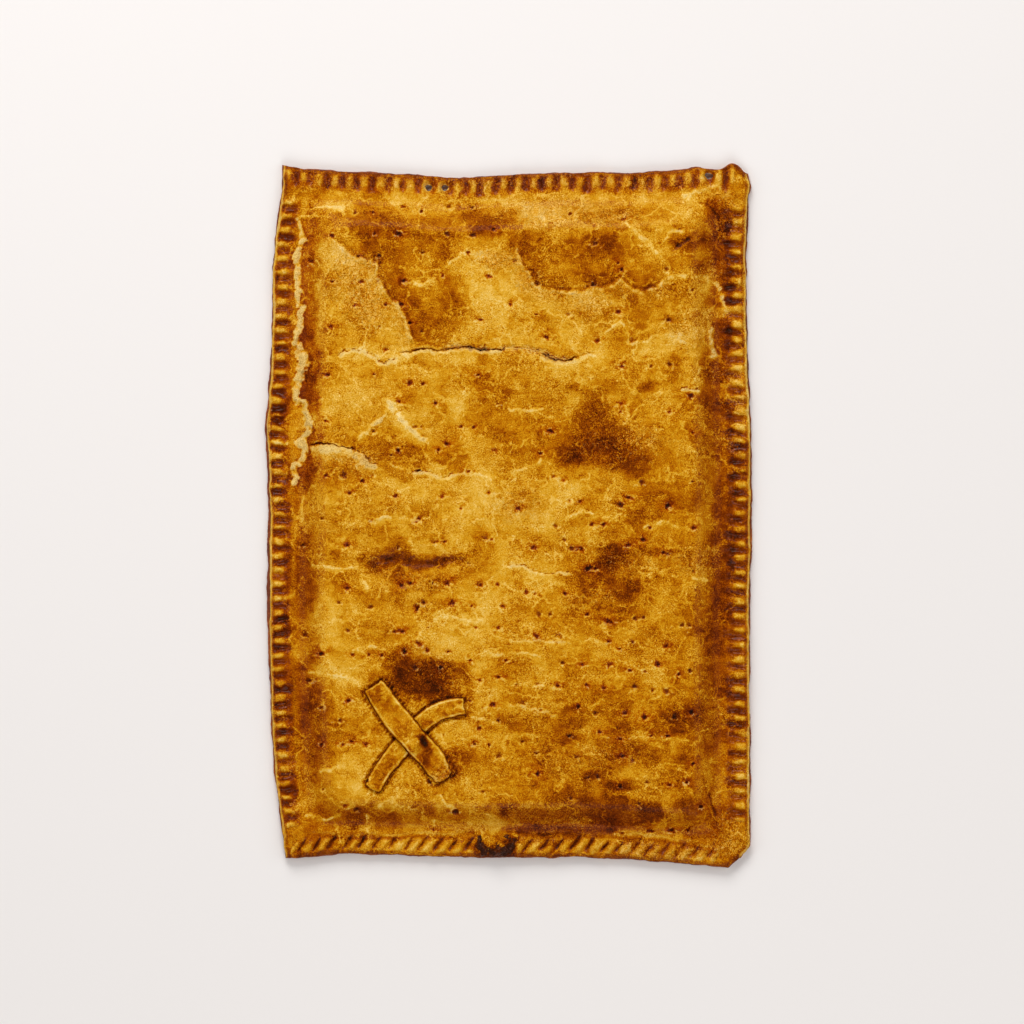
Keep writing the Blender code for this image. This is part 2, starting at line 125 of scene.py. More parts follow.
# the pie's outline and body, in millimetres, as the solids have them
pie = {
    "wide": 240.0,
    "long": 356.0,
    "nearLeft": (-115.4, -176.4),
    "nearRight": (123.5, -181.5),
    "farLeft": (-116.0, 178.6),
    "farRight": (123.0, 176.5),
    "bowNear": (0, 3.1, 3.2, 2.8, 3.3, 4.1, 3.4, 1.6, 0),
    "bowFar": (0, -1.4, -2.6, -4.2, -2.3, -1.1, -0.9, 1.1, 0),
    "bowLeft": (0, -5.0, -7.1, -7.7, -7.5, -8.2, -6.3, -5.2, 0),
    "bowRight": (0, 0.0, 0.1, -0.1, 0.7, 0.5, -1.0, -1.5, 0),
    # corner: direction out, how much is cut off (or pulled out), reach along the sides
    "cornerCuts": {
        "nearRight": (0.634, -0.773, 7.4, 11.0),
        "nearLeft": (-0.707, -0.707, 0.5, 4.0),
        "farLeft": (-0.0995, 0.995, -1.6, 9.0),
        "farRight": (0.707, 0.707, 1.6, 5.0),
    },
    "cornerDepth": 25.0,
    # side, distance along it, half width, how far out
    "knobs": (
        ("far", 232.0, 4.6, 4.0),
        ("far", 214.0, 5.0, 1.2),
        ("right", 348.0, 3.0, 1.0),
        ("near", 137.0, 3.0, 0.7),
        ("left", 222.0, 8.0, 0.8),
    ),
    "knobDepth": 9.0,
    "ragged": 0.32,  # small unevenness of the cut edge
    "sheet": 2.2,
    "gap": 0.3,
    "lidEdge": 2.4,
    "crown": 9.2,
    "edgeLift": 1.3,
    "liftReach": 26.0,
    "liftWave": 110.0,
    "softCorner": 4.0,
    "rim": 12.5,
    "rise": 17.0,
    # x, y, half width, half length, height
    "bulges": (
        (-15, 112, 62, 34, 1.9),
        (66, 124, 36, 30, 1.2),
        (-82, 108, 26, 42, -0.9),
        (-62, 62, 44, 22, 1.1),
        (28, 72, 58, 16, 0.9),
        (44, 47, 20, 17, -1.7),
        (80, 36, 26, 44, 0.7),
        (-66, 12, 38, 20, 0.9),
        (2, 8, 34, 22, 0.8),
        (54, -24, 24, 13, -1.5),
        (-56, -25, 30, 9, -1.5),
        (-66, -62, 34, 26, 1.0),
        (8, -72, 52, 36, 1.3),
        (-34, -82, 20, 12, -1.1),
        (74, -98, 34, 44, 0.9),
        (-76, -142, 34, 18, 0.8),
        (24, -150, 60, 16, 0.8),
    ),
    "waves": 0.35,  # low unevenness of the dough
}
sideWays = {"near": (0, -1), "far": (0, 1), "left": (-1, 0), "right": (1, 0)}


def sideRoom(p, q, side):  # along a side, and in from it
    wide, long = pie["wide"], pie["long"]
    return {"near": (p, q), "far": (p, long - q), "left": (q, p), "right": (q, wide - p)}[side]


def edgeDistance(p, q):  # how far in from the nearest edge, rounded at the corners
    soft = pie["softCorner"]
    gaps = (p, pie["wide"] - p, q, pie["long"] - q)
    return -soft * np.log(sum(np.exp(-gap / soft) for gap in gaps))


def placeLid(p, q):  # where a point of the flat lid lies
    u, v = p / pie["wide"], q / pie["long"]
    corner = {name: np.array(pie[name]) for name in ("nearLeft", "nearRight", "farLeft", "farRight")}
    spots = [
        (1 - v) * ((1 - u) * corner["nearLeft"][k] + u * corner["nearRight"][k])
        + v * ((1 - u) * corner["farLeft"][k] + u * corner["farRight"][k])
        for k in (0, 1)
    ]
    spots[0] = spots[0] + (1 - u) * through(pie["bowLeft"], v) + u * through(pie["bowRight"], v)
    spots[1] = spots[1] + (1 - v) * through(pie["bowNear"], u) + v * through(pie["bowFar"], u)
    for name, (outX, outY, cut, reach) in pie["cornerCuts"].items():
        across = p if "Left" in name else pie["wide"] - p
        along = q if "near" in name else pie["long"] - q
        near = np.maximum(0, 1 - np.abs(across - along) / reach)
        deep = np.maximum(0, 1 - np.minimum(across, along) / pie["cornerDepth"])
        spots[0] = spots[0] - outX * cut * near * deep
        spots[1] = spots[1] - outY * cut * near * deep
    for side, at, half, out in pie["knobs"]:
        along, inset = sideRoom(p, q, side)
        bump = out * bell(along - at, half) * smooth(1 - inset / pie["knobDepth"])
        spots[0] = spots[0] + sideWays[side][0] * bump
        spots[1] = spots[1] + sideWays[side][1] * bump
    return spots[0] + reference["shift"][0], spots[1] + reference["shift"][1]


def flatSpot(x, y):  # the flat point that lands at x, y
    p, q = x + pie["wide"] / 2, y + pie["long"] / 2
    for _ in range(8):
        hereX, hereY = placeLid(p, q)
        p, q = p + x - hereX, q + y - hereY
    return p, q


def rimLift(p, q):
    near = smooth(1 - edgeDistance(p, q) / pie["liftReach"])
    wave = 0.25 * np.sin(math.tau * p / pie["liftWave"] + 1.0) * np.cos(math.tau * q / pie["liftWave"])
    return pie["edgeLift"] * near * (0.45 + wave + 0.3 * (1 - q / pie["long"]))


def lidBody(p, q, x, y):  # the lid's top without its marks
    inset = edgeDistance(p, q)
    bulge = sum(
        tall * np.exp(-1.4 * (((x - bx) / wide) ** 2 + ((y - by) / long) ** 2))
        for bx, by, wide, long, tall in pie["bulges"]
    )
    rise = smooth((inset - pie["rim"]) / pie["rise"])
    waves = pie["waves"] * (cloud(x, y, 24, 3) * rise + 0.6 * cloud(x, y, 9, 4) + 0.34 * cloud(x, y, 4, 5))
    return pie["sheet"] + pie["gap"] + pie["lidEdge"] + rise * (pie["crown"] + bulge) + rimLift(p, q) + waves


# marks of the lid, in millimetres where nothing else is said
# crimps: middle of the first and last along each side, count, where they begin and end across the rim,
# lean, half width, depth, how dark they are (browned dough and painted shade) and how red the dough has gone
# in them, how dark it is between them, how high and how pale (golden dough and painted highlight) the knobs
# between them are, and from where on they are squashed
crimps = {
    "near": {
        "first": 8.7, "last": 219.0, "count": 28, "outer": 3.0, "inner": 9.4, "lean": 0.75, "half": 0.85,
        "deep": 1.7, "dark": 0.26, "red": 0.2, "between": 0.0, "knob": 1.0, "pale": 0.2, "squashedFrom": 172,
    },
    "right": {
        "first": 28.3, "last": 334.1, "count": 42, "outer": 2.0, "inner": 11.2, "lean": 0.0, "half": 1.8,
        "deep": 1.8, "dark": 0.14, "red": 0.3, "between": 0.04, "knob": 0.8, "pale": 0.36,
        "squashedFrom": 999,
    },
    "far": {
        "first": 6.6, "last": 228.3, "count": 29, "outer": 2.0, "inner": 9.0, "lean": 0.0, "half": 1.7,
        "deep": 1.4, "dark": 0.20, "red": 0.5, "between": 0.03, "knob": 0.5, "pale": 0.2, "squashedFrom": 999,
    },
    "left": {
        "first": 20.6, "last": 335.4, "count": 44, "outer": 1.6, "inner": 9.0, "lean": 0.0, "half": 1.85,
        "deep": 1.8, "dark": 0.17, "red": 0.5, "between": 0.06, "knob": 0.8, "pale": 0.36,
        "squashedFrom": 999,
    },
}
# the rim is left plain under the leaked filling: middle in reference pixels, half width and height
coveredRim = {"middle": (494.5, 845), "half": (11.5, 7.0)}

# brush strokes over the lid: points along the stroke, half width in pixels, how much darker (or lighter)
washes = (
    (((316, 216), (340, 221), (362, 234), (372, 248)), 9, 0.06),
    (((362, 226), (400, 228), (440, 230), (470, 226), (500, 226)), 12, 0.075),
    (((375, 252), (420, 246), (450, 247)), 12, 0.05),
    (((389, 262), (397, 290), (413, 316), (434, 334)), 14, 0.06),
    (((414, 318), (442, 314)), 13, 0.04),
    (((476, 222), (500, 228), (520, 238)), 11, 0.07),
    (((522, 242), (546, 254), (575, 250), (602, 245)), 13, 0.11),
    (((538, 270), (550, 282), (572, 285), (602, 280)), 8, 0.07),
    (((590, 236), (606, 244), (622, 258)), 9, 0.05),
    (((576, 268), (612, 273), (645, 285)), 9, 0.04),
    (((660, 247), (678, 241), (700, 237)), 6, 0.10),
    (((700, 264), (712, 250), (706, 230)), 9, 0.08),
    (((716, 204), (721, 240), (723, 266), (724, 294)), 11, 0.15),
    (((706, 300), (700, 320)), 8, 0.04),
    (((723, 330), (717, 355), (713, 385), (716, 410), (724, 426)), 12, 0.12),
    (((690, 428), (700, 440), (715, 452)), 9, 0.06),
    (((728, 440), (727, 470), (724, 505)), 11, 0.08),
    (((703, 466), (715, 482)), 9, 0.04),
    (((724, 500), (725, 540), (723, 580), (717, 620), (714, 650), (722, 690)), 10, 0.08),
    (((466, 380), (490, 384), (502, 392)), 8, 0.07),
    (((490, 406), (498, 430), (512, 447)), 10, 0.05),
    (((384, 449), (420, 453), (458, 456)), 8, 0.05),
    (((310, 455), (317, 462), (309, 482)), 5, 0.08),
    (((365, 562), (375, 566), (386, 562)), 8, 0.11),
    (((394, 544), (400, 557)), 10, 0.09),
    (((378, 572), (400, 581), (398, 594)), 8, 0.08),
    (((410, 562), (430, 563), (458, 558)), 5, 0.11),
    (((340, 576), (356, 592)), 6, 0.04),
    (((572, 580), (592, 590)), 8, 0.08),
    (((638, 548), (668, 552)), 5, 0.08),
    (((460, 672), (470, 690), (470, 716)), 6, 0.10),
    (((377, 674), (368, 690)), 5, 0.08),
    (((300, 556), (300, 600), (305, 640), (308, 700)), 14, 0.055),
    (((312, 700), (318, 730), (323, 762)), 13, 0.045),
    (((318, 812), (345, 816)), 8, 0.06),
    (((360, 816), (400, 812), (426, 808)), 10, 0.09),
    (((510, 829), (560, 831), (612, 829)), 4, 0.14),
    (((508, 812), (540, 818), (572, 815)), 10, 0.07),
    (((640, 745), (656, 766)), 8, 0.05),
    (((312, 205), (330, 208), (346, 206)), 8, -0.08),
    (((400, 195), (470, 198), (560, 200), (640, 196)), 8, -0.05),
    (((528, 214), (556, 214), (576, 222)), 8, -0.08),
    (((606, 206), (632, 226), (646, 239)), 5, -0.07),
    (((655, 226), (690, 210)), 6, -0.04),
    (((330, 252), (345, 272), (362, 292), (380, 312), (395, 328)), 17, -0.05),
    (((450, 268), (470, 262), (500, 262), (515, 286)), 11, -0.05),
    (((560, 310), (575, 336), (592, 350)), 12, -0.06),
    (((336, 353), (400, 352), (440, 357), (472, 362)), 7, -0.09),
    (((560, 371), (590, 362), (610, 350), (640, 350), (672, 345)), 9, -0.07),
    (((340, 390), (380, 388), (420, 385)), 10, -0.03),
    (((392, 406), (405, 425), (419, 441)), 6, -0.06),
    (((318, 451), (345, 456), (365, 466), (385, 476), (402, 486)), 8, -0.09),
    (((620, 833), (648, 834)), 4, -0.07),
)
# browned and burnt spots: x, y, half width, half height, how much darker
burns = (
    (592, 412, 20, 16, 0.13), (585, 432, 26, 20, 0.11), (615, 438, 20, 14, 0.17), (600, 455, 34, 18, 0.08),
    (640, 425, 18, 12, 0.06), (632, 462, 20, 12, 0.08), (570, 455, 14, 10, 0.08), (592, 388, 26, 8, 0.07),
    (645, 388, 8, 5, 0.10), (600, 572, 18, 14, 0.14), (615, 560, 16, 12, 0.07), (625, 588, 22, 10, 0.11),
    (610, 548, 16, 8, 0.08), (635, 606, 30, 10, 0.04), (415, 680, 30, 22, 0.19), (400, 662, 14, 12, 0.11),
    (430, 692, 16, 12, 0.12), (440, 674, 30, 15, 0.11), (450, 690, 14, 10, 0.13), (575, 690, 20, 12, 0.04),
    (575, 715, 16, 10, 0.05), (615, 745, 20, 24, 0.08), (680, 715, 26, 12, 0.07), (690, 760, 14, 8, 0.06),
    (565, 738, 10, 5, 0.07), (590, 776, 10, 6, 0.14), (620, 785, 14, 6, 0.12), (570, 795, 22, 10, 0.08),
    (610, 811, 34, 14, 0.12), (650, 812, 14, 12, 0.18), (612, 824, 30, 8, 0.10), (690, 805, 14, 7, 0.08),
    (455, 766, 14, 16, 0.09), (505, 813, 6, 8, 0.10), (480, 846, 6, 10, 0.14), (497, 854, 14, 4, 0.14),
    (514, 846, 6, 10, 0.14), (330, 713, 14, 6, 0.03), (680, 243, 12, 6, 0.12),
    (722, 222, 8, 12, 0.14), (718, 372, 12, 10, 0.06), (724, 407, 12, 8, 0.14), (700, 245, 10, 8, 0.06),
    (620, 760, 110, 60, 0.03), (405, 562, 30, 12, 0.08), (420, 578, 40, 12, 0.05), (448, 560, 22, 7, 0.06),
    (700, 700, 40, 90, 0.03), (330, 760, 30, 50, 0.03), (650, 480, 60, 40, 0.02),
    (306, 590, 14, 26, 0.08), (296, 470, 8, 30, 0.06), (300, 330, 6, 60, 0.04), (718, 590, 10, 26, 0.06),
)
# paler, yellower spots
lights = (
    (485, 300, 24, 30, 0.06), (505, 330, 30, 14, 0.05), (600, 300, 16, 10, 0.07), (460, 400, 14, 14, 0.07),
    (430, 410, 40, 14, 0.04), (440, 490, 50, 16, 0.07), (350, 500, 40, 16, 0.06), (485, 480, 12, 24, 0.06),
    (480, 515, 40, 14, 0.05), (560, 490, 30, 12, 0.03), (535, 520, 30, 12, 0.07), (580, 535, 20, 8, 0.07),
    (335, 565, 16, 8, 0.06), (500, 590, 30, 30, 0.05), (545, 590, 20, 20, 0.05), (460, 600, 20, 20, 0.04),
    (345, 625, 30, 24, 0.06), (450, 630, 30, 16, 0.05), (600, 640, 30, 14, 0.05), (660, 610, 20, 12, 0.04),
    (340, 668, 24, 10, 0.07), (490, 700, 22, 16, 0.04), (545, 680, 14, 20, 0.05), (350, 775, 16, 16, 0.07),
    (492, 822, 14, 8, 0.08), (305, 808, 12, 12, 0.05), (655, 400, 16, 8, 0.04), (685, 340, 20, 20, 0.04),
    (345, 260, 20, 12, 0.04), (520, 190, 200, 7, 0.03),
)
# rough, crumbly spots where the glaze has blistered off: x, y, half width, half height, how much
crumbly = (
    (368, 300, 22, 28, 0.9), (356, 262, 24, 10, 0.8), (340, 285, 20, 14, 0.5), (610, 452, 40, 14, 1.0),
    (612, 430, 22, 18, 0.3), (640, 440, 22, 9, 0.9), (618, 566, 18, 8, 1.0), (606, 595, 16, 5, 1.0),
    (580, 598, 20, 7, 0.8), (390, 569, 16, 6, 1.0), (412, 583, 26, 8, 0.7), (560, 215, 60, 14, 0.7),
    (500, 258, 24, 8, 0.9), (512, 262, 14, 8, 0.9), (528, 280, 14, 10, 0.9), (722, 226, 12, 14, 1.0),
    (724, 199, 14, 9, 1.0), (712, 270, 14, 10, 0.9), (720, 372, 16, 10, 0.8), (728, 404, 16, 8, 0.8),
    (446, 676, 16, 14, 0.7), (424, 660, 24, 14, 0.5), (590, 306, 26, 12, 0.7), (700, 330, 34, 20, 0.5),
    (560, 822, 60, 6, 0.8), (725, 830, 16, 24, 1.0), (660, 852, 70, 9, 0.8), (640, 555, 60, 10, 0.4),
    (352, 462, 36, 10, 0.7), (620, 218, 20, 8, 0.8), (735, 445, 10, 12, 0.8), (705, 560, 20, 14, 0.5),
    (520, 506, 24, 16, 0.6), (586, 760, 40, 20, 0.3), (450, 765, 10, 14, 0.9), (620, 750, 20, 12, 0.6),
    (400, 182, 130, 6, 0.6), (600, 182, 120, 6, 0.7), (690, 560, 20, 8, 0.4), (510, 812, 20, 12, 0.6),
)

# lines on the lid, each with its kind, width and depth in millimetres, and points; a gape is an open
# crack, a band is raw dough squeezed out, a fold is the edge of a flap and a ledge is a small step
lines = (
    ("crack", 1.1, 1.5, (
        (397, 354.8), (409, 352.3), (421, 348.6), (437, 350), (452, 349.5), (466, 347.5), (475.6, 350),
        (490.5, 350.5), (503, 349.5), (505.5, 354),
    )),
    ("gape", 2.8, 1.3, ((442, 350), (452, 347.6), (462, 347), (472, 348.6), (482, 350), (490, 350.5))),
    ("hairline", 0.7, 0.9, (
        (334.6, 355.6), (348, 351.5), (356, 349.8), (368, 353.2), (376, 357.3), (382, 363.1), (391, 360.6),
        (398, 354.8),
    )),
    ("crack", 1.2, 1.5, ((540, 354), (547, 357.5), (553, 360), (563, 360.6), (571, 360), (578, 356.5))),
    ("gape", 3.4, 1.2, (
        (497, 350.5), (507, 349), (515, 348.5), (525, 348.5), (535, 350.5), (544.8, 355), (553, 358.5),
        (563, 359.5), (573, 359),
    )),
    ("hairline", 0.7, 0.8, ((578, 356.5), (588, 354), (594.5, 353.2))),
    ("crack", 1.2, 1.4, ((308, 446.4), (321, 444.8), (331, 444.8), (341, 446.4), (348, 448), (356, 449.8))),
    ("hairline", 0.9, 1.0, ((356, 449.8), (364.5, 454.7), (371, 460.5), (377.7, 463.8))),
    ("hairline", 0.7, 0.8, (
        (410, 471.3), (420.8, 472), (430.8, 473), (442.4, 477), (450.7, 474.6), (460.6, 472), (469, 471.3),
    )),
    ("pale", 2.2, 0.5, (
        (312, 450), (325, 450), (340, 452), (352, 455), (362, 461), (372, 466), (380, 467),
    )),
    ("pale", 0.9, 0.25, ((377.7, 463.8), (387.7, 461.4), (396, 466.3), (411, 471.3))),
    ("pale", 0.9, 0.25, ((469, 471.3), (485.5, 476.3), (492, 481.3))),
    ("pale", 1.8, 0.5, ((387.7, 411.6), (381, 420), (371, 428.2), (362.8, 434.8), (356.2, 439.8))),
    ("pale", 1.7, 0.4, (
        (396, 411.6), (401, 420), (407.6, 426.5), (414.2, 433.2), (420.8, 438), (430.8, 444.8),
    )),
    ("pale", 1.8, 0.4, ((390, 400), (391, 408), (396, 412))),
    ("band", 2.3, 0.7, (
        (299, 216), (298.5, 221), (301.4, 231), (303, 239.6), (298.5, 249.5), (297.3, 257.8), (297.3, 266),
        (297.8, 276), (299, 287.6), (297.3, 297.6), (299, 304.2), (302.3, 307.5), (300.6, 317.5),
        (299, 329.1), (294.8, 339), (294.8, 344),
    )),
    ("band", 3.6, 0.8, ((294.8, 338), (297, 344), (299.8, 349), (303.9, 359), (303, 367.2), (299, 381))),
    ("band", 2.6, 0.7, (
        (302.5, 369), (300.6, 377.2), (297.3, 387.1), (296.5, 398.8), (304.8, 403.3), (305.6, 413.3),
        (309.7, 421.6), (308.9, 431.5), (303, 439.8), (299, 444), (304.8, 448), (304.8, 456.4),
        (299.8, 463), (294.8, 466.3), (294.8, 474.6), (294, 487.9),
    )),
    ("pale", 1.2, 0.4, ((303, 494.5), (302.3, 507.8), (302.3, 521), (304.8, 526))),
    ("pale", 1.2, 0.3, ((301, 217), (308, 211), (318, 208), (332, 206.5), (345, 208))),
    ("fold", 1.3, 0.5, (
        (326.3, 237.9), (333, 239.6), (341.2, 244.5), (347.9, 251.2), (357.8, 257.8), (371.1, 261.1),
        (378.5, 264.4), (377.7, 274.4), (382.7, 284.3), (389.3, 297.6), (399.3, 304.2), (404.3, 314.2),
        (408.4, 325.8), (412.5, 337.4), (419.2, 345.7),
    )),
    ("fold", 1.1, 0.4, (
        (517, 238), (521.6, 262.8), (529.9, 274.4), (533.2, 282.7), (543, 287.6), (559.7, 291),
        (571.3, 292.6), (583, 291), (592.9, 287.6), (604.5, 287.6), (614.5, 282.7), (621, 279.4),
        (624.4, 282.7), (632.7, 289.3), (642.6, 291.8), (651, 289.3), (657.6, 286), (664.2, 279.4),
        (670.8, 276.9),
    )),
    ("pale", 1.1, 0.3, ((664.2, 279.4), (670.8, 276.9), (684, 276), (700.7, 276.9), (712.3, 277.7))),
    ("pale", 1.9, 0.5, ((714.8, 279.4), (718.9, 291), (723.9, 304.2), (726.4, 310.9), (723.9, 320.8))),
    ("pale", 2.0, 0.5, ((714, 325.8), (710.6, 334), (711.5, 344), (714, 359))),
    ("pale", 1.0, 0.3, ((621, 221.3), (631, 229.6), (641, 239.6), (649.3, 244.5), (659.2, 256.1))),
    ("pale", 1.0, 0.3, ((573, 259.5), (579.6, 251.2), (591.2, 244.5), (601.2, 239.6))),
    ("pale", 0.8, 0.2, ((660.9, 244.5), (670.8, 232.9), (682.4, 229.6))),
    ("seam", 1.4, 0.5, ((670.8, 252.8), (677.5, 246.2), (687.4, 239.6), (695.7, 236.2))),
    ("pale", 0.9, 0.3, (
        (627.7, 345.7), (637.7, 342.4), (647.6, 340.7), (654.3, 337.4), (667.5, 335.7), (677.5, 340.7),
        (689, 345.7),
    )),
    ("pale", 0.9, 0.3, (
        (596.2, 342.4), (604.5, 334), (611.1, 329), (621.1, 322.5), (627.7, 334), (631, 342.4),
    )),
    ("pale", 1.6, 0.5, ((680.8, 198), (692.4, 193), (704, 189.8), (720.6, 184.8))),
    ("seam", 1.0, 0.5, ((699, 203), (707.3, 204.7), (714, 213), (719, 219.7))),
    ("hairline", 0.6, 0.6, ((679, 389.6), (687.4, 388.8), (699, 389.6))),
    ("pale", 0.7, 0.2, (
        (334.6, 524.4), (347.9, 523.5), (361, 522.7), (371, 521.9), (381, 517.7), (394.3, 516.9),
        (404.3, 518.6), (414.2, 519.4),
    )),
    ("seam", 4.2, 0.9, (
        (364.5, 565.8), (381, 559.2), (396, 558.4), (412.5, 560.9), (429, 563.3), (442.4, 561.7),
        (459, 560), (469, 562.5),
    )),
    ("pale", 0.7, 0.2, ((309.7, 564.2), (324.7, 565.8), (337.9, 569.2), (351.2, 567.5), (361, 564))),
    ("pale", 0.7, 0.2, ((361, 579), (367.8, 587.4), (371, 599))),
    ("hairline", 0.6, 0.6, (
        (505, 565.8), (521.6, 564.2), (534.9, 570.8), (548, 573.3), (559.7, 570.8), (574.7, 573.3),
    )),
    ("pale", 1.0, 0.3, ((505, 410), (521.6, 410), (534.9, 411.6), (546.5, 408.3))),
    ("pale", 0.8, 0.2, ((505, 473), (521.6, 469.6), (538, 463), (541, 456))),
    ("pale", 1.1, 0.4, ((689, 577.4), (700.7, 578.3), (710.6, 582.4), (720.6, 584))),
    ("hairline", 0.5, 0.4, ((505, 638.8), (530, 638.8), (554.8, 639.6), (571.3, 640.5))),
    ("pale", 0.9, 0.3, (
        (304.8, 673), (321.3, 673), (331.3, 674), (342.9, 676.5), (354.5, 679.8), (364.5, 685.6),
    )),
    ("pale", 0.8, 0.2, ((303, 769.4), (321.3, 771), (333, 767.7), (346.2, 765.2))),
    ("pale", 0.9, 0.3, (
        (303, 815.8), (318, 815), (321.3, 819), (331.3, 817.4), (341.2, 812.5), (347.9, 807.5),
        (357.8, 804.2),
    )),
    ("pale", 0.8, 0.2, ((371, 804), (387.7, 805.8), (401, 805.8), (414.2, 806.7))),
    ("ledge", 1.2, 0.6, (
        (309, 830.7), (325, 832.4), (338, 835), (354.5, 835.7), (367.8, 834), (381, 834.9), (392.6, 835.7),
        (409.2, 833.2), (422.5, 832.4), (437.4, 834), (454, 833.2), (469, 829), (478, 827),
    )),
    ("ledge", 1.4, 0.6, (
        (508, 829.5), (538, 831.5), (571.3, 832), (597.9, 833), (621, 834), (647.6, 836), (670.8, 838),
        (687.4, 841), (720.6, 848),
    )),
    ("pale", 0.8, 0.2, ((437.4, 792.6), (447.4, 802.5), (454, 809))),
    ("pale", 0.7, 0.2, ((469, 716.3), (483.8, 719.6), (495.5, 722), (508.7, 726.2))),
    ("pale", 0.6, 0.2, ((367.5, 812), (367, 834))),
    ("pale", 0.6, 0.2, ((434, 819), (434, 833))),
    ("seam", 0.9, 0.6, ((707.3, 792.6), (712.3, 805.8), (717.3, 817.4))),
    ("pale", 0.8, 0.3, ((271.6, 442.3), (280, 443), (288.2, 444))),
    ("pale", 0.8, 0.2, ((505, 682), (520, 683), (536, 684.5), (556, 687), (566, 695), (573, 701))),
    ("pale", 0.8, 0.2, ((505, 706), (522, 706), (538, 709), (548, 714), (560, 715))),
    ("pale", 0.8, 0.2, ((598, 737), (620, 737), (645, 737), (668, 739), (690, 740))),
    ("pale", 0.8, 0.2, ((584, 639), (591, 638.8), (601, 642), (609.5, 645.4))),
    ("pale", 0.8, 0.2, ((480, 650), (500, 655), (520, 652), (545, 658))),
    ("pale", 0.7, 0.2, ((430, 620), (450, 616), (470, 622), (490, 618))),
    ("pale", 0.7, 0.2, ((350, 650), (372, 646), (390, 652))),
    ("pale", 0.7, 0.2, ((560, 520), (580, 512), (602, 518), (622, 512))),
    ("pale", 0.7, 0.2, ((640, 530), (662, 522), (680, 528))),
    ("pale", 0.8, 0.2, ((410, 281), (420, 286), (430, 282), (438, 277))),
    ("pale", 0.8, 0.2, ((465, 222), (466, 236), (467, 250))),
    ("pale", 0.8, 0.2, ((447, 268), (452, 262), (460, 258), (466, 252))),
)

# pricks: for each row's height, the places across it
prickRows = (
    (207, (403, 449, 472)), (212, (355.5, 421.5)), (213, (373,)), (214, (571,)), (220, (623,)),
    (230, (493.5, 680)), (234, (374.5, 399, 446.5)), (235.5, (332, 472.3)), (244, (594,)),
    (253, (423, 468)), (257, (358.5, 379.5)), (261, (311.5, 515)), (264, (617.5,)), (270, (621, 666)),
    (282, (333, 360.5, 378.5, 403.5)), (277, (442.5, 489)), (284, (536, 593)), (291, (692,)),
    (305, (356, 386, 401, 510)), (312, (618,)), (315, (569, 536)), (320.5, (480.5, 668)),
    (327, (331.5, 379.5)), (323.5, (409,)), (332, (421.5,)), (337, (545.5,)), (341, (597, 631)),
    (350, (386,)), (365, (669,)), (375, (328, 374.5, 478)), (384, (410, 423.5)), (367, (621, 650)),
    (395, (690,)), (403, (399, 436)), (404, (621, 497)), (412, (620.5, 669)), (421, (325.5,)),
    (427, (414, 421, 474, 461)), (431, (550, 374.5)), (433, (692,)), (444, (447,)), (450, (398, 439, 494)),
    (453.5, (541,)), (455, (392.5,)), (475, (326.5, 344.5, 373)), (476, (554,)), (481, (562.5, 363)),
    (471.5, (418.5, 468)), (482, (641.5, 692.5)), (493, (350.5, 489)), (496, (396, 442.5)),
    (501, (569, 580)), (497.5, (628,)), (505, (619.5,)), (506, (667.5,)), (508, (518, 461.5)),
    (518.5, (323, 418.5)), (521.5, (371, 417.5)), (524.5, (591.5, 603)), (528, (649.5, 692.5)),
    (525.5, (554.5,)), (539, (485.5, 492)), (540, (565, 642.5)), (545, (302.5,)), (542, (434, 444)),
    (547.5, (398, 571, 581, 532.5)), (544.5, (348, 628)), (553, (662.5, 667.5)), (562.5, (469,)),
    (569, (594.5, 588)), (571, (692.5,)), (583, (411, 433, 447.5)), (584.5, (480.5, 497, 401)),
    (588, (348,)), (593, (565, 526.5, 535)), (602.5, (339.5, 423.5, 452.5)), (606.5, (371, 472, 418, 502)),
    (607.5, (417.5,)), (614, (539, 550, 586.5)), (617.5, (634, 643.5)), (625, (681, 689)), (621, (607.5,)),
    (630.5, (348, 394.5, 402.5)), (627.5, (429, 475.5, 498)), (634.5, (305,)), (635.5, (536, 560)),
    (643, (418.5,)), (641.5, (632, 608)), (645.5, (666,)), (650.5, (405, 427.5, 449)),
    (654, (321.5, 352.5, 369.5, 382.5)), (648.5, (619.5,)), (661.5, (562,)), (664, (582, 608.5, 657)),
    (670.5, (630, 644, 690)), (674, (678,)), (667, (415, 440)), (684, (516.5, 539, 585.5)),
    (685.5, (557.5, 633.5)), (687.5, (604,)), (690, (652, 666)), (676.5, (498.5,)), (702, (523.5,)),
    (706.5, (578, 321.5)), (710, (540.5,)), (713, (595, 624.5, 690.5)), (717, (644, 674)),
    (703.5, (493.5,)), (728, (480,)), (731.5, (600,)), (735, (570, 650, 666.5)), (738, (620,)),
    (743.5, (343.5, 322, 367, 475, 489)), (752.5, (536.5,)), (756, (622.5, 576, 500)), (762.5, (692.5,)),
    (759.5, (632,)), (776, (588, 598)), (772.5, (538,)), (781, (646,)), (784.5, (669,)),
    (781.5, (685.5, 430)), (786.5, (619.5,)), (788.5, (323.5,)), (783, (370,)), (791, (483,)),
    (797.5, (571,)), (802.5, (639,)), (806.5, (412,)), (810, (455.5,)), (805, (345.5,)), (809, (357,)),
    (806, (700,)), (830.5, (651,)), (830, (671, 687.5)), (829.5, (434,)), (833, (621.5,)),
    (740.5, (522, 352)), (720, (498, 340)), (700, (470, 350)), (680, (480, 310)), (660, (470, 505)),
)
prickSizes = {"radius": (0.55, 0.95), "deep": (0.8, 1.4), "dark": (0.22, 0.42), "seed": 12}
# holes where a tine went right through
tineHoles = {
    "spots": ((428.8, 187.9), (445, 187.9), (709, 176.4)),
    "stretch": (1.1, 1.05, 1.3),
    "radius": 1.6,
    "dent": 3.6,
    "dentReach": 2.6,
}
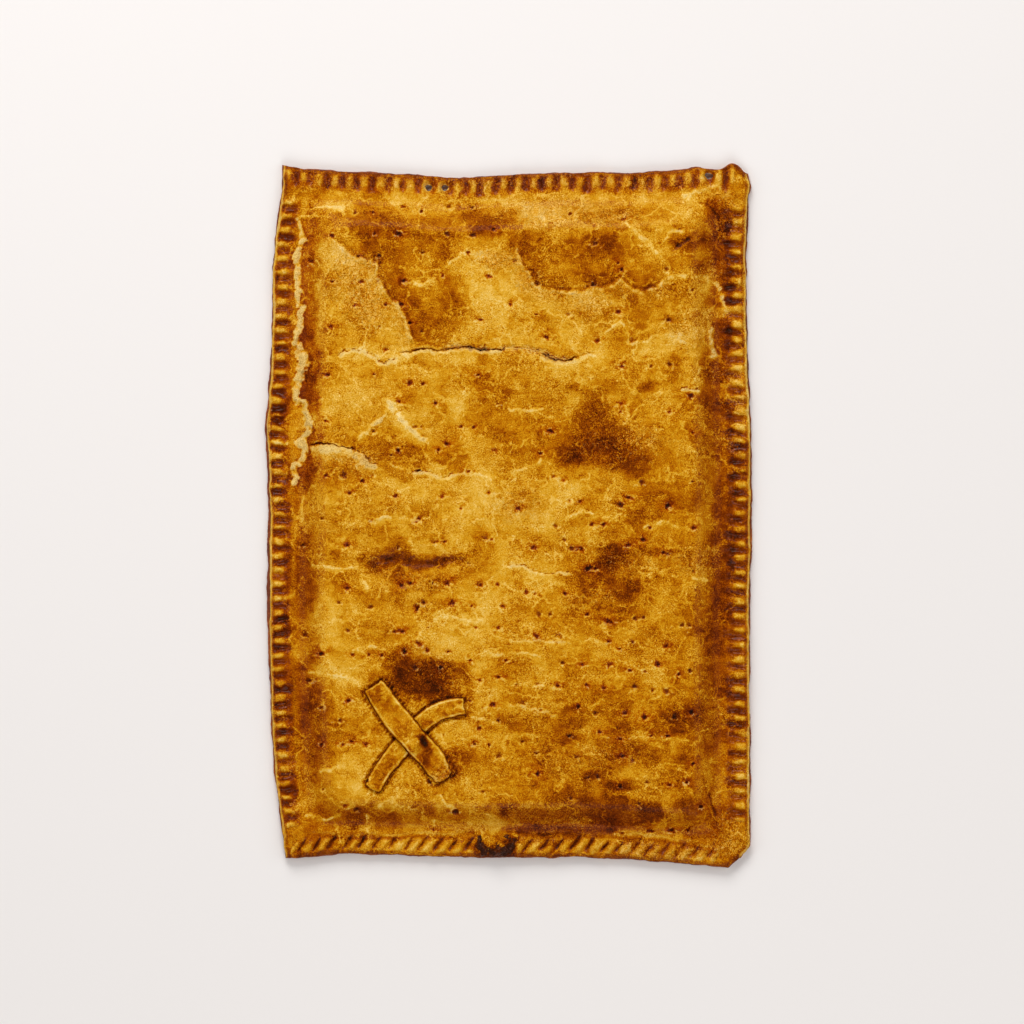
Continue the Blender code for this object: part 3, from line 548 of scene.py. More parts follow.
# how the lines are laid: how far noise pushes them about, how much their width changes, and for each kind
# how far it works to each side and how dark it goes
lineLook = {
    "push": 0.75,
    "uneven": 0.65,
    "reach": {"fold": 18.0, "band": 9.0},
    "dark": {
        "crack": 0.44, "hairline": 0.40, "gape": 0.26, "pale": 0.07, "band": 0.09, "fold": 0.12, "seam": 0.20,
        "ledge": 0.12,
    },
}
# the lid's edge: how far in it is rounded and how far down, and how pale and grey the cut dough is
edgeLook = {
    "left": {"slope": 2.2, "drop": 1.5, "grey": 0.7},
    "right": {"slope": 2.2, "drop": 1.5, "grey": 0.65},
    "near": {"slope": 1.6, "drop": 0.9},
    "far": {"slope": 1.6, "drop": 0.9},
    "cutPale": 0.9,
    "slopeBrown": {"near": 0.05, "right": 0.05, "left": 0.03},
}
# round the strips: depth of the groove, how dark its painted shadow is, and how pale the lip beyond it
stripBed = {"deep": 0.5, "dark": 0.30, "lip": 0.5}

lineCurves = [
    (kind, wide, deep, smoothLine(onPie(points), 4, 0.22, seed))
    for seed, (kind, wide, deep, points) in enumerate(lines)
]


def prickTable():  # x, y, radius, depth, darkness and stretch of each prick
    rng = np.random.default_rng(prickSizes["seed"])
    spots = np.array([(x, y) for y, row in prickRows for x in row], float)
    count = len(spots)
    spots = onPie(spots) + rng.normal(0, 0.15, (count, 2))
    sizes = [rng.uniform(*prickSizes[name], count) for name in ("radius", "deep", "dark")]
    return np.column_stack([spots, *sizes, rng.uniform(1.0, 1.7, count)])


pricks = prickTable()


def ragged(x, y, marks, seed, edge=0.45):  # the sum of soft-edged spots with an uneven outline
    wobbleX, wobbleY = x + 2.6 * cloud(x, y, 7, seed), y + 2.6 * cloud(x, y, 7, seed + 1)
    total = np.zeros(x.shape)
    spots = onPie([mark[:2] for mark in marks])
    for (spotX, spotY), (_, _, halfX, halfY, much) in zip(spots, marks):
        halfX, halfY = halfX * reference["mmPerPixel"], halfY * reference["mmPerPixel"]
        away = np.hypot((wobbleX - spotX) / halfX, (wobbleY - spotY) / halfY)
        total += much * smooth((1 + edge - away) / (2 * edge))
    return total


def atLeast(skin, mask, values):  # raises a mask where it is lower than this
    skin[mask] = np.maximum(skin[mask], values)


def addWashes(skin):
    x = skin["x"] + 2.2 * cloud(skin["x"], skin["y"], 8, 25)
    y = skin["y"] + 2.2 * cloud(skin["x"], skin["y"], 8, 26)
    for points, halfWidth, much in washes:
        half = halfWidth * reference["mmPerPixel"]
        away, side, along = nearLine(x, y, smoothLine(onPie(points)), 1.8 * half)
        skin["bake"] += much * smooth((1.35 - away / half) / 0.7)


def addCrimps(skin):
    p, q, x, y = skin["p"], skin["q"], skin["x"], skin["y"]
    covered, (halfX, halfY) = onPie(coveredRim["middle"])[0], coveredRim["half"]
    bare = smooth((np.hypot((x - covered[0]) / halfX, (y - covered[1]) / halfY) - 0.8) / 0.3)
    for number, (side, row) in enumerate(crimps.items()):
        rng = np.random.default_rng(40 + number)
        count = row["count"]
        pitch = (row["last"] - row["first"]) / (count - 1)
        along, inset = sideRoom(p, q, side)
        bent = along - row["lean"] * (inset - 5.5) + 0.55 * cloud(x, y, 3.4, 50 + number)
        deepIn = inset + 0.7 * cloud(x, y, 3.0, 60 + number)
        k = np.clip(np.round((bent - row["first"]) / pitch).astype(int), 0, count - 1)
        # no two crimps are alike
        shift, half = rng.normal(0, 0.3, count), row["half"] * rng.uniform(0.75, 1.2, count)
        deep, dark = row["deep"] * rng.uniform(0.7, 1.15, count), row["dark"] * rng.uniform(0.6, 1.2, count)
        outer, inner = row["outer"] + rng.normal(0, 0.4, count), row["inner"] + rng.normal(0, 0.7, count)
        squashed = smooth((row["first"] + pitch * np.arange(count) - row["squashedFrom"]) / 8)
        deep, dark = deep * (1 - 0.5 * squashed), dark * (1 - 0.3 * squashed)
        away = np.abs(bent - row["first"] - pitch * k - shift[k])
        middle, reach = (outer + inner) / 2, (inner - outer) / 2
        long = np.abs(deepIn - middle[k]) / reach[k]
        groove = np.exp(-0.9 * ((away / half[k]) ** 2 + np.clip(long, 0, 9) ** 4) ** 1.2)
        stainAndShade = np.exp(-0.55 * ((away / (half[k] * 1.05)) ** 2 + long ** 4) ** 1.5)
        within = smooth((inset - row["outer"] + 1.2) / 1.2) * smooth((row["inner"] + 2.6 - inset) / 2.4)
        near = (np.abs(bent - row["first"] - pitch * k) < pitch * 0.6) * bare
        groove, stainAndShade = groove * bare, stainAndShade * bare
        bar = bell(away / pitch - 0.5, 0.22) * within * near
        tip = (outer + 0.30 * (inner - outer))[k]
        knob = np.exp(-((away / pitch - 0.5) / 0.21) ** 4 - ((inset - tip) / 3.0) ** 4) * near
        skin["z"] += 0.2 * bar + row["knob"] * knob - deep[k] * groove
        # the grooves are darkened as browned dough and painted shade; the knobs are lighter, golden dough
        # with a painted highlight
        skin["bake"] += dark[k] * stainAndShade * (1 - 0.6 * knob) - 0.11 * knob
        skin["bake"] += row["between"] * within * (1 - knob) * near
        atLeast(skin, "red", row["red"] * within * near * (1 - 0.7 * knob))
        atLeast(skin, "pale", row["pale"] * knob * bare * (0.6 + 0.5 * cloud(x, y, 2, 64)))
        atLeast(skin, "wet", groove)


def alongWobble(x, y, size, seed):  # 0 to 1, to break a line up along its run
    return smooth(0.5 + 0.9 * cloud(x, y, size, seed))


def addLines(skin):
    dark = lineLook["dark"]
    x = skin["x"] + lineLook["push"] * cloud(skin["x"], skin["y"], 3.0, 70)
    y = skin["y"] + lineLook["push"] * cloud(skin["x"], skin["y"], 3.0, 71)
    uneven = 1 + lineLook["uneven"] * np.clip(cloud(x, y, 3.5, 72), -1, 1)
    lumps = cloud(skin["x"], skin["y"], 1.5, 73, 2)
    broken = alongWobble(x, y, 5, 74)
    for kind, wide, deep, curve in lineCurves:
        away, side, along = nearLine(x, y, curve, lineLook["reach"].get(kind, 3.0 * wide + 2.0))
        ends = smooth(along / 0.08) * smooth((1 - along) / 0.08)
        half = 0.5 * wide * (0.55 + 0.45 * ends) * uneven
        signed = side * away
        if kind in ("crack", "hairline"):
            gap = bell(away, half) * ends
            lip = bell(signed + 1.7 * half + 0.4, 0.8 * half + 0.7) * ends
            high = bell(signed - 1.8 * half, 1.1 * half) * ends
            skin["z"] += -deep * gap + 0.25 * lip + 0.3 * high
            # the dark core of the crack is painted shade
            skin["bake"] += dark[kind] * (0.35 + 0.65 * broken) * bell(away, half * 0.8) * ends
            atLeast(skin, "pale", (0.95 * lip + 0.45 * high) * (0.6 + 0.4 * broken))
        elif kind == "gape":  # the dough's layers show in it
            gap = bell(away, half, 4) * ends
            layers = 0.5 + 0.5 * np.cos(signed * 5.0 + 2 * lumps)
            skin["z"] -= deep * gap * (0.6 + 0.4 * layers)
            atLeast(skin, "grey", gap)
            atLeast(skin, "pale", gap * (0.35 + 0.4 * layers))
            skin["bake"] += dark[kind] * gap * (1 - layers) * (0.4 + 1.2 * broken)
        elif kind == "pale":
            half = half + 0.3
            whole = smooth((wide - 1.1) / 0.6) * 0.45 + 0.2
            ridge = bell(away, half) * ends * (whole + (1 - whole) * broken) * (1 + 0.5 * lumps)
            skin["z"] += deep * ridge
            atLeast(skin, "pale", min(0.95, 0.52 + 0.2 * wide) * ridge)
            skin["bake"] -= 0.08 * bell(away, 2.4 * half) * ends
            skin["bake"] += dark[kind] * bell(signed - 1.7 * half, 0.6 * half) * ends * broken
        elif kind == "band":
            half = 0.5 * half + 0.32 * wide
            inside = smooth((half * 1.25 - away) / 0.7 + 0.5)
            inside = inside * smooth(along / 0.02) * smooth((1 - along) / 0.02)
            skin["z"] += (1.3 * np.cos(np.minimum(away / half, 1) * 1.5) - 0.7 + 0.9 * lumps) * deep * inside
            shaded = smooth(signed / half)
            atLeast(skin, "pale", inside * (0.84 + 0.55 * lumps - 0.16 * shaded))
            atLeast(skin, "grey", inside * 0.3 * shaded)
            right = smooth((signed - 0.9 * half) / 0.8) * smooth((9.5 - signed) / 1.6) * ends * (signed > 0)
            skin["bake"] += dark[kind] * right + 0.08 * bell(away - 1.5 * half, 0.7) * ends
            atLeast(skin, "red", 0.6 * right)
        elif kind == "fold":  # pale crest; the valley beside it is browned by pooled glaze and darkened as painted shadow, and the lower side is lighter as painted highlight
            crest = bell(signed + 0.9, 0.75 * wide) * ends * (0.7 + 0.5 * lumps)
            valley = bell(signed - 0.9, 0.55 * wide) * ends
            wash = smooth(signed / 1.2) * bell(np.maximum(signed, 0), 9.0) * ends
            below = smooth(-signed / 1.0) * bell(np.maximum(-signed, 0), 7.0) * ends
            skin["z"] += deep * crest - 0.45 * valley + 0.25 * wash
            skin["bake"] += dark[kind] * valley + 0.035 * wash - 0.05 * below
            atLeast(skin, "pale", 0.72 * crest)
            atLeast(skin, "grain", 0.7 * below)
        elif kind == "seam":
            skin["z"] -= deep * bell(away, half) * ends
            # darker in the crease, as painted shade
            skin["bake"] += dark[kind] / math.sqrt(wide) * bell(away, 1.2 * half) * ends
        elif kind == "ledge":
            skin["z"] += deep * np.tanh(signed / (0.5 * wide)) * np.exp(-away / 3.0) * ends
            atLeast(skin, "pale", 0.4 * bell(away, 0.9) * ends * (0.2 + 0.8 * broken))
            # the dark line at the foot of the step is painted shadow
            skin["bake"] += dark[kind] * bell(signed + 1.6, 0.9) * ends


def addPricks(skin):
    x, y = skin["x"], skin["y"]
    bend = cloud(x, y, 1.3, 80, 2)
    order = np.argsort(x)
    sortedX = x[order]
    for spotX, spotY, radius, deep, dark, stretch in pricks:
        low, high = np.searchsorted(sortedX, (spotX - 6, spotX + 6))
        near = order[low:high]
        near = near[np.abs(y[near] - spotY) < 6]
        if not len(near):
            continue
        dx, dy = (x[near] - spotX) / stretch, y[near] - spotY
        away = np.hypot(dx, dy) / radius * (1 + 0.5 * bend[near])
        hole, lip, halo = bell(away), bell(away - 1.8, 0.7), bell(away, 2.0 + 2.6 * dark)
        below = smooth(0.5 - dy / radius)
        skin["z"][near] += -deep * hole + 0.18 * lip
        # the hole is darkened as browned glaze and painted shade, with a red halo round it
        skin["bake"][near] += dark * bell(away, 0.9) + 0.18 * dark * halo
        # pale lips, on the lower side a painted highlight
        for mask, values in (
            ("pale", 0.62 * lip * np.maximum(below, bend[near] > 0.25)),
            ("red", halo * (dark > 0.3)),
            ("wet", 0.15 * hole),
        ):
            skin[mask][near] = np.maximum(skin[mask][near], values)


def addEdge(skin):
    p, q, x, y = skin["p"], skin["q"], skin["x"], skin["y"]
    for side in sideWays:
        look = edgeLook[side]
        along, inset = sideRoom(p, q, side)
        skin["z"] -= look["drop"] * (1 - smooth((inset + 0.4 * cloud(x, y, 5, 90)) / look["slope"]))
        if "grey" in look:  # the cut dough shows
            strip = smooth((1.3 - inset + 0.4 * cloud(x, y, 4, 93)) / 0.5)
            layers = 0.72 + 0.28 * np.sin(inset * 5.5 + 1.6 * cloud(x, y, 10, 91))
            atLeast(skin, "pale", edgeLook["cutPale"] * strip * layers)
            atLeast(skin, "grey", strip * look["grey"])
            skin["bake"] += 0.08 * bell(inset - 1.8, 0.5)
        else:
            skin["bake"] += 0.12 * smooth((3.0 - inset) / 2.0)
    inset = edgeDistance(p, q)
    skin["z"] += 0.22 * cloud(x, y, 4, 92) * smooth((13 - inset) / 3)
    skin["bake"] += 0.05 * smooth((12.5 - inset) / 3)
    for side, much in edgeLook["slopeBrown"].items():
        along, room = sideRoom(p, q, side)
        slope = smooth((room - 10) / 4) * smooth((32 - room) / 14) * smooth((inset - 9) / 4)
        skin["bake"] += much * slope
        atLeast(skin, "red", 0.3 * slope)


def addHoleDents(skin):  # the dough is pressed thin round the holes
    for spotX, spotY in onPie(tineHoles["spots"]):
        away = np.hypot(skin["x"] - spotX, skin["y"] - spotY) / tineHoles["dentReach"]
        skin["z"] -= tineHoles["dent"] * bell(away, power=4)
        # the pale ring at each hole is painted light, standing in for the bright table seen through it
        atLeast(skin, "pale", 0.9 * bell(away, 0.75, 8))


def addStripBeds(skin):  # the lid sinks a little round each strip of the cross, and the groove is darkened as painted shadow
    x, y = skin["x"], skin["y"]
    for strip in strips.values():
        curve = smoothLine(onPie(strip["points"]), 6)
        half = through(strip["halfWidth"], np.array([0.5]))[0]
        away, side, along = nearLine(x, y, curve, half + 5)
        shadowGroove = bell(away - half - 0.3, 0.6) * (along > 0.001) * (along < 0.999)
        for end, inner in ((curve[0], curve[2]), (curve[-1], curve[-3])):  # straight across the ends
            out = (end - inner) / np.hypot(*(end - inner))
            across = np.array((-out[1], out[0])) * half * 0.9
            far, _, _ = nearLine(x, y, np.array((end - across, end + across)) + 0.3 * out, 4)
            shadowGroove = np.maximum(shadowGroove, bell(far, 0.6))
        skin["z"] -= stripBed["deep"] * shadowGroove
        skin["bake"] += stripBed["dark"] * shadowGroove
        lip = bell(away - half - 1.7, 0.5) * (along > 0.02) * (along < 0.98)
        atLeast(skin, "pale", stripBed["lip"] * lip * alongWobble(x, y, 3, 97))


# the cross: middle line and browned spots in reference pixels; half width, thickness and the rest in
# millimetres
strips = {
    "crossStripUnder": {
        "points": ((372.5, 788.5), (385.1, 766), (401.7, 745.5), (419, 725.8), (439.7, 710.6), (465, 705.5)),
        "halfWidth": (4.7, 5.1, 5.2, 5.1, 5.1, 5.0),
        "thick": 1.9,
        "spots": ((370, 783, 2.5, 2.5, 0.4), (393, 750, 3, 3, 0.12)),
        "seed": 5,
        "crumbledEnd": False,
    },
    "crossStripOver": {
        "points": ((373.6, 684.8), (386.6, 704.4), (401, 723.1), (416.4, 741), (432.2, 758.6), (445, 779)),
        "halfWidth": (5.9, 6.5, 7.0, 7.0, 6.9, 5.9),
        "thick": 2.3,
        "spots": ((422, 738, 5, 7, 0.34), (425, 752, 7, 12, 0.22), (420, 730, 6, 12, 0.12)),
        "seed": 6,
        "crumbledEnd": True,
    },
}

lidMesh = {"cell": 1.35, "passes": 2, "leastThick": 0.35}


def detailWanted(p, q):  # how many times a face here should be halved
    x, y = placeLid(p, q)
    wanted = np.where(edgeDistance(p, q) < 11.5, 1, 0)
    for kind, wide, deep, curve in lineCurves:
        away, side, along = nearLine(x, y, curve, wide + 2.5)
        wanted = np.maximum(wanted, np.where(away < 0.5 * wide + 1.0, 1, 0))
        if kind in ("crack", "gape"):
            wanted = np.maximum(wanted, np.where(away < 0.9, 2, 0))
    order = np.argsort(x)
    sortedX = x[order]
    for spotX, spotY, radius, *_ in pricks:
        low, high = np.searchsorted(sortedX, (spotX - 4, spotX + 4))
        near = order[low:high]
        away = np.hypot(x[near] - spotX, y[near] - spotY)
        wanted[near] = np.maximum(wanted[near], np.where(away < 1.7, 1, 0))
    for spotX, spotY in onPie(tineHoles["spots"]):
        wanted = np.maximum(wanted, np.where(np.hypot(x - spotX, y - spotY) < 2.6, 2, 0))
    return wanted


def fineGrid(wide, long, cell, passes, wanted):  # a flat grid, halved again wherever detail is wanted
    bm = bmesh.new()
    bmesh.ops.create_grid(
        bm, x_segments=round(wide / cell), y_segments=round(long / cell), size=0.5,
        matrix=Matrix.Translation((wide / 2, long / 2, 0)) @ Matrix.Diagonal((wide, long, 1, 1)),
    )
    for level in range(1, passes + 1):
        faces = list(bm.faces)
        middles = np.array([face.calc_center_median()[:2] for face in faces])
        need = wanted(middles[:, 0], middles[:, 1]) >= level
        edges = {edge for face, chosen in zip(faces, need) if chosen for edge in face.edges}
        bmesh.ops.subdivide_edges(bm, edges=list(edges), cuts=1, use_grid_fill=True)
    return bm


def punchHoles(bm):  # opens the tine holes in a flat net, with clean edges
    radius = tineHoles["radius"]
    for (x, y), stretch in zip(onPie(tineHoles["spots"]), tineHoles["stretch"]):
        p, q = (float(value[0]) for value in flatSpot(np.array([x]), np.array([y])))
        middles = ((face, face.calc_center_median()) for face in bm.faces)
        inside = [face for face, at in middles if math.hypot((at.x - p) / stretch, at.y - q) < radius]
        around = {vert for face in inside for vert in face.verts}
        bmesh.ops.delete(bm, geom=inside, context="FACES")
        for vert in around:
            if vert.is_valid and vert.is_boundary:
                away = Vector((vert.co.x - p, vert.co.y - q))
                away = away.normalized() * radius * (1 + 0.12 * math.sin(3 * math.atan2(away.y, away.x)))
                vert.co = (p + away.x * stretch, q + away.y, 0)


def closeUnder(bm):  # drops every open edge and fills the underside flat
    under = bm.verts.layers.int.new("under")
    rim = [edge for edge in bm.edges if edge.is_boundary]
    grown = bmesh.ops.extrude_edge_only(bm, edges=rim)["geom"]
    for vert in (item for item in grown if isinstance(item, bmesh.types.BMVert)):
        vert[under] = 1
    low = [edge for edge in bm.edges if edge.is_boundary]
    bmesh.ops.triangle_fill(bm, use_beauty=True, edges=low, normal=(0, 0, -1))
    return under


def makeObject(bm, name, smoothAngle=None):
    mesh = bpy.data.meshes.new(name)
    bm.to_mesh(mesh)
    bm.free()
    mesh.shade_smooth()
    if smoothAngle:
        mesh.set_sharp_from_angle(angle=math.radians(smoothAngle))
    made = bpy.data.objects.new(name, mesh)
    bpy.context.scene.collection.objects.link(made)
    return made


def readSpots(mesh):
    spots = np.empty(len(mesh.vertices) * 3, dtype=np.float32)
    mesh.vertices.foreach_get("co", spots)
    return spots.reshape(-1, 3).astype(float)


def writeSpots(mesh, x, y, z):
    mesh.vertices.foreach_set("co", (np.column_stack([x, y, z]) * mm).astype(np.float32).ravel())
    mesh.update()


def writeMask(mesh, name, values):
    layer = mesh.attributes.new(name, "FLOAT", "POINT")
    layer.data.foreach_set("value", np.asarray(values, np.float32))


# the first mask darkens the crust: browning, and in the cracks, creases, crimps, pricks, fold valleys and
# round the strips also painted shade
skinMasks = ("bake", "pale", "grain", "wet", "red", "grey")


def dressSkin(p, q):  # height and masks of the lid's top
    x, y = placeLid(p, q)
    skin = {"p": p, "q": q, "x": x, "y": y, "z": lidBody(p, q, x, y)}
    for name in skinMasks:
        skin[name] = np.zeros(x.shape)
    skin["bake"] += 1.4 * ragged(x, y, burns, 20)
    addWashes(skin)
    skin["bake"] = np.minimum(skin["bake"], 0.20 + 0.45 * np.maximum(0, skin["bake"] - 0.20))
    skin["bake"] -= 1.1 * ragged(x, y, lights, 30)
    skin["grain"] += np.clip(ragged(x, y, crumbly, 35, 0.6), 0, 1)
    addEdge(skin)
    addCrimps(skin)
    addLines(skin)
    addStripBeds(skin)
    addHoleDents(skin)
    addPricks(skin)
    return skin


def makeLid():
    bm = fineGrid(pie["wide"], pie["long"], lidMesh["cell"], lidMesh["passes"], detailWanted)
    punchHoles(bm)
    under = closeUnder(bm)
    below = np.array([vert[under] for vert in bm.verts], bool)
    bmesh.ops.recalc_face_normals(bm, faces=bm.faces[:])
    lid = makeObject(bm, "crustLid", 60)
    flat = readSpots(lid.data)
    p, q = flat[:, 0], flat[:, 1]
    skin = dressSkin(p, q)
    x, y = skin["x"], skin["y"]
    for side, (outX, outY) in sideWays.items():  # small unevenness of the cut edge
        along, inset = sideRoom(p, q, side)
        push = pie["ragged"] * (cloud(along, 0 * along, 7, 95) + 0.5 * cloud(along, 0 * along, 2.2, 96))
        x, y = x + outX * push * smooth(1 - inset / 4), y + outY * push * smooth(1 - inset / 4)
    floorZ = pie["sheet"] + pie["gap"] + rimLift(p, q)
    z = np.where(below, floorZ, np.maximum(skin["z"], floorZ + lidMesh["leastThick"]))
    writeSpots(lid.data, x, y, z)
    for name in skinMasks:
        writeMask(lid.data, name, np.clip(skin[name], -1, 1))
    lid.data.calc_loop_triangles()
    print("lid:", len(lid.data.vertices), "points,", len(lid.data.loop_triangles), "triangles")
    return lid


# bottom sheet
sheet = {
    "cell": 3.2,
    "passes": 2,
    # how far it stands out beyond the lid, along each side
    "overhang": {
        "near": (0.3, 0.3, 0.2, 0.3, 0.3, 0.2, 0.3, 0.2, 0.3),
        "far": (0.3, 0.3, 0.2, 0.3, 0.2, 0.3, 0.2, 0.3, 0.3),
        "left": (0.2, 0.3, 0.6, 1.4, 0.9, 0.9, 0.3, 0.2, 0.2),
        "right": (0.3, 0.4, 0.3, 0.5, 0.7, 0.5, 0.4, 0.4, 0.3),
    },
    "lumps": 0.45,
    "torn": {"side": "right", "from": 78, "to": 96, "back": 1.2},
    # the edge's steps from the top to the underside: share of the way down, and how far out
    "stepDown": (0.0, 0.3, 0.7, 1.0),
    "stepOut": (0.0, 0.25, 0.2, -0.1),
}


def makeSheet():
    def wanted(p, q):
        inset = edgeDistance(p, q)
        return np.where(inset < 3.5, 2, np.where(inset < 14, 1, 0))

    bm = fineGrid(pie["wide"], pie["long"], sheet["cell"], sheet["passes"], wanted)
    punchHoles(bm)
    # the cut edge goes down in three steps to a copy of the net, turned over
    layer = bm.verts.layers.int.new("level")
    lower = bm.copy()
    for level in range(1, len(sheet["stepDown"])):
        rim = [edge for edge in bm.edges if edge.is_boundary]
        grown = bmesh.ops.extrude_edge_only(bm, edges=rim)["geom"]
        for vert in (item for item in grown if isinstance(item, bmesh.types.BMVert)):
            vert[layer] = level
    otherLayer = lower.verts.layers.int["level"]
    for vert in lower.verts:
        vert[otherLayer] = len(sheet["stepDown"]) - 1
    bmesh.ops.reverse_faces(lower, faces=lower.faces[:])
    spare = bpy.data.meshes.new("sheetUnder")
    lower.to_mesh(spare)
    lower.free()
    bm.from_mesh(spare)
    bpy.data.meshes.remove(spare)
    levels = np.array([vert[layer] for vert in bm.verts])
    base = makeObject(bm, "crustBase", 60)
    flat = readSpots(base.data)
    p, q = flat[:, 0], flat[:, 1]
    x, y = placeLid(p, q)
    inset = edgeDistance(p, q)
    torn = sheet["torn"]
    for side, (outX, outY) in sideWays.items():
        along, room = sideRoom(p, q, side)
        length = pie["long"] if side in ("left", "right") else pie["wide"]
        lumps = sheet["lumps"] * (cloud(along, 0 * along, 9, 97) + 0.6 * cloud(along, 0 * along, 3, 98))
        out = through(sheet["overhang"][side], along / length) + lumps
        if side == torn["side"]:
            out = out - torn["back"] * smooth((along - torn["from"]) / 3) * smooth((torn["to"] - along) / 3)
        out = out * smooth(1 - room / pie["rim"])
        x, y = x + outX * out, y + outY * out
    lift = rimLift(p, q)
    edge = smooth(1 - inset / 3)
    top = pie["sheet"] + lift - 0.25 * edge + 0.12 * cloud(x, y, 3, 99) * edge
    dimples = 0.18 * np.maximum(0, cloud(x, y, 8, 100)) + 0.12 * np.maximum(0, cloud(x, y, 3, 101))
    bottom = lift + dimples * smooth(inset / 8)
    share = np.array(sheet["stepDown"])[levels]
    z = top * (1 - share) + bottom * share
    bulge = np.array(sheet["stepOut"])[levels]
    for side, (outX, outY) in sideWays.items():
        along, room = sideRoom(p, q, side)
        near = smooth(1 - room / 2)
        x, y = x + outX * bulge * near, y + outY * bulge * near
    writeSpots(base.data, x, y, z)
    bmBack = bmesh.new()
    bmBack.from_mesh(base.data)
    bmesh.ops.remove_doubles(bmBack, verts=bmBack.verts[:], dist=0.02 * mm)
    bmesh.ops.recalc_face_normals(bmBack, faces=bmBack.faces[:])
    bmBack.to_mesh(base.data)
    bmBack.free()
    spots = readSpots(base.data) / mm
    writeMask(base.data, "under", smooth((2.0 - (spots[:, 2] - 0.2)) / 1.5))
    base.data.calc_loop_triangles()
    print("sheet:", len(base.data.loop_triangles), "triangles")
    return base


# strips of the cross
stripMesh = {"cell": 0.45, "across": 34, "root": 2.3}  # root: how deep it sits in the lid


def lidTop(x, y):
    p, q = flatSpot(x, y)
    return lidBody(p, q, x, y)


def makeStrip(name, under=None):
    strip = strips[name]
    curve = smoothLine(onPie(strip["points"]), 20)
    length = np.hypot(*np.diff(curve, axis=0).T).sum()
    bm = bmesh.new()
    along, across = round(length / stripMesh["cell"]), stripMesh["across"]
    bmesh.ops.create_grid(bm, x_segments=along, y_segments=across, size=0.5)
    layer = closeUnder(bm)
    below = np.array([vert[layer] for vert in bm.verts], bool)
    bmesh.ops.recalc_face_normals(bm, faces=bm.faces[:])
    made = makeObject(bm, name, 60)
    flat = readSpots(made.data)
    t, s = flat[:, 0] + 0.5, flat[:, 1] * 2
    half = through(strip["halfWidth"], t)
    half = half + 0.42 * cloud(t * length, s * 0 + np.sign(s) * 30, 6, strip["seed"])
    squeeze = 1 - 0.10 * smooth(1 - t / 0.05) - 0.10 * smooth(1 - (1 - t) / 0.05)
    if strip["crumbledEnd"]:
        squeeze = squeeze - 0.22 * smooth((t - 0.86) / 0.14) * (1 + 0.5 * np.sin(t * 90))
    half = half * squeeze
    places = np.linspace(0, 1, len(curve))
    tornEnds = 0.012 * cloud(s * 5, t * 0 + 3, 2.5, strip["seed"] + 1) * (np.abs(t - 0.5) > 0.4)
    at = np.clip(t + tornEnds, -0.02, 1.02)
    middleX, middleY = (np.interp(at, places, curve[:, axis]) for axis in (0, 1))
    runX, runY = (
        np.interp(at + 0.01, places, curve[:, axis]) - np.interp(at - 0.01, places, curve[:, axis])
        for axis in (0, 1)
    )
    run = np.hypot(runX, runY)
    x, y = middleX - runY / run * s * half, middleY + runX / run * s * half
    ground = lidTop(x, y)
    edge = np.minimum((1 - np.abs(s)) * half, np.minimum(t, 1 - t) * length)
    shape = np.sqrt(1 - (1 - np.clip((edge + 0.15) / 2.6, 0, 1)) ** 2)
    thick = strip["thick"] * (0.10 + 0.90 * shape) + 0.26 * cloud(x, y, 3.5, strip["seed"] + 2) * shape
    z = ground + thick
    bake = 0.05 + 0.13 * cloud(x, y, 6, strip["seed"] + 3)
    # lighter near the rounded edge as painted highlight, and a dark line at the very edge as painted shadow
    bake -= 0.08 * bell(edge - 1.3, 0.6)
    bake += 0.30 * smooth((0.7 - edge) / 0.6)
    if under:
        line = smoothLine(onPie(strips[under]["points"]), 20)
        away, _, _ = nearLine(x, y, line, 12)
        z = z + (strips[under]["thick"] + pie["gap"]) * smooth(1.9 - away / 5.0) * 0.95
    bake += ragged(x, y, strip["spots"], 44, 0.6)
    grain = np.zeros(x.shape)
    if strip["crumbledEnd"]:
        rough = smooth((t - 0.80) / 0.14)
        z = z + rough * (0.7 * cloud(x, y, 2.6, 61) - 0.2)
        bake += rough * 0.12 * cloud(x, y, 2.0, 62)
        grain = rough
    z = np.where(below, ground - stripMesh["root"], z)
    writeSpots(made.data, x, y, z)
    writeMask(made.data, "bake", bake)
    # a pale lip along the rounded edge, a painted highlight
    lip = 0.6 * bell(edge - 1.2, 0.45) * (0.7 + 0.6 * cloud(x, y, 3, strip["seed"] + 4))
    writeMask(made.data, "pale", np.clip(lip, 0, 1))
    writeMask(made.data, "grain", grain)
    for mask in ("wet", "red", "grey"):
        writeMask(made.data, mask, np.zeros(x.shape))
    return made


# burnt filling on the near rim
# lobes: x, y, half width, half height in reference pixels, height in millimetres
leak = {
    "middle": (496, 843.5),
    "size": (22.5, 13.6),
    "cell": 0.25,
    "lobes": (
        (478.5, 838, 3.8, 5.5, 1.9), (479.5, 845, 4.6, 5.5, 2.2), (485, 850.5, 6.5, 5, 2.6),
        (494.5, 852.5, 8, 4.4, 2.6), (503.5, 851, 7, 4.8, 2.6), (510, 847, 5, 5.5, 2.4),
        (512, 840, 4, 4.6, 1.9), (507, 836, 4, 3.5, 1.6), (498, 846, 3.2, 5, 1.7), (490, 844, 2.4, 3, 1.2),
    ),
    "rough": 0.75,
    "sunk": 1.2,
    "root": 1.9,
    "spread": (11.0, 4.9),
    "golden": (491, 840, 7, 6),  # where the dough shows through
}


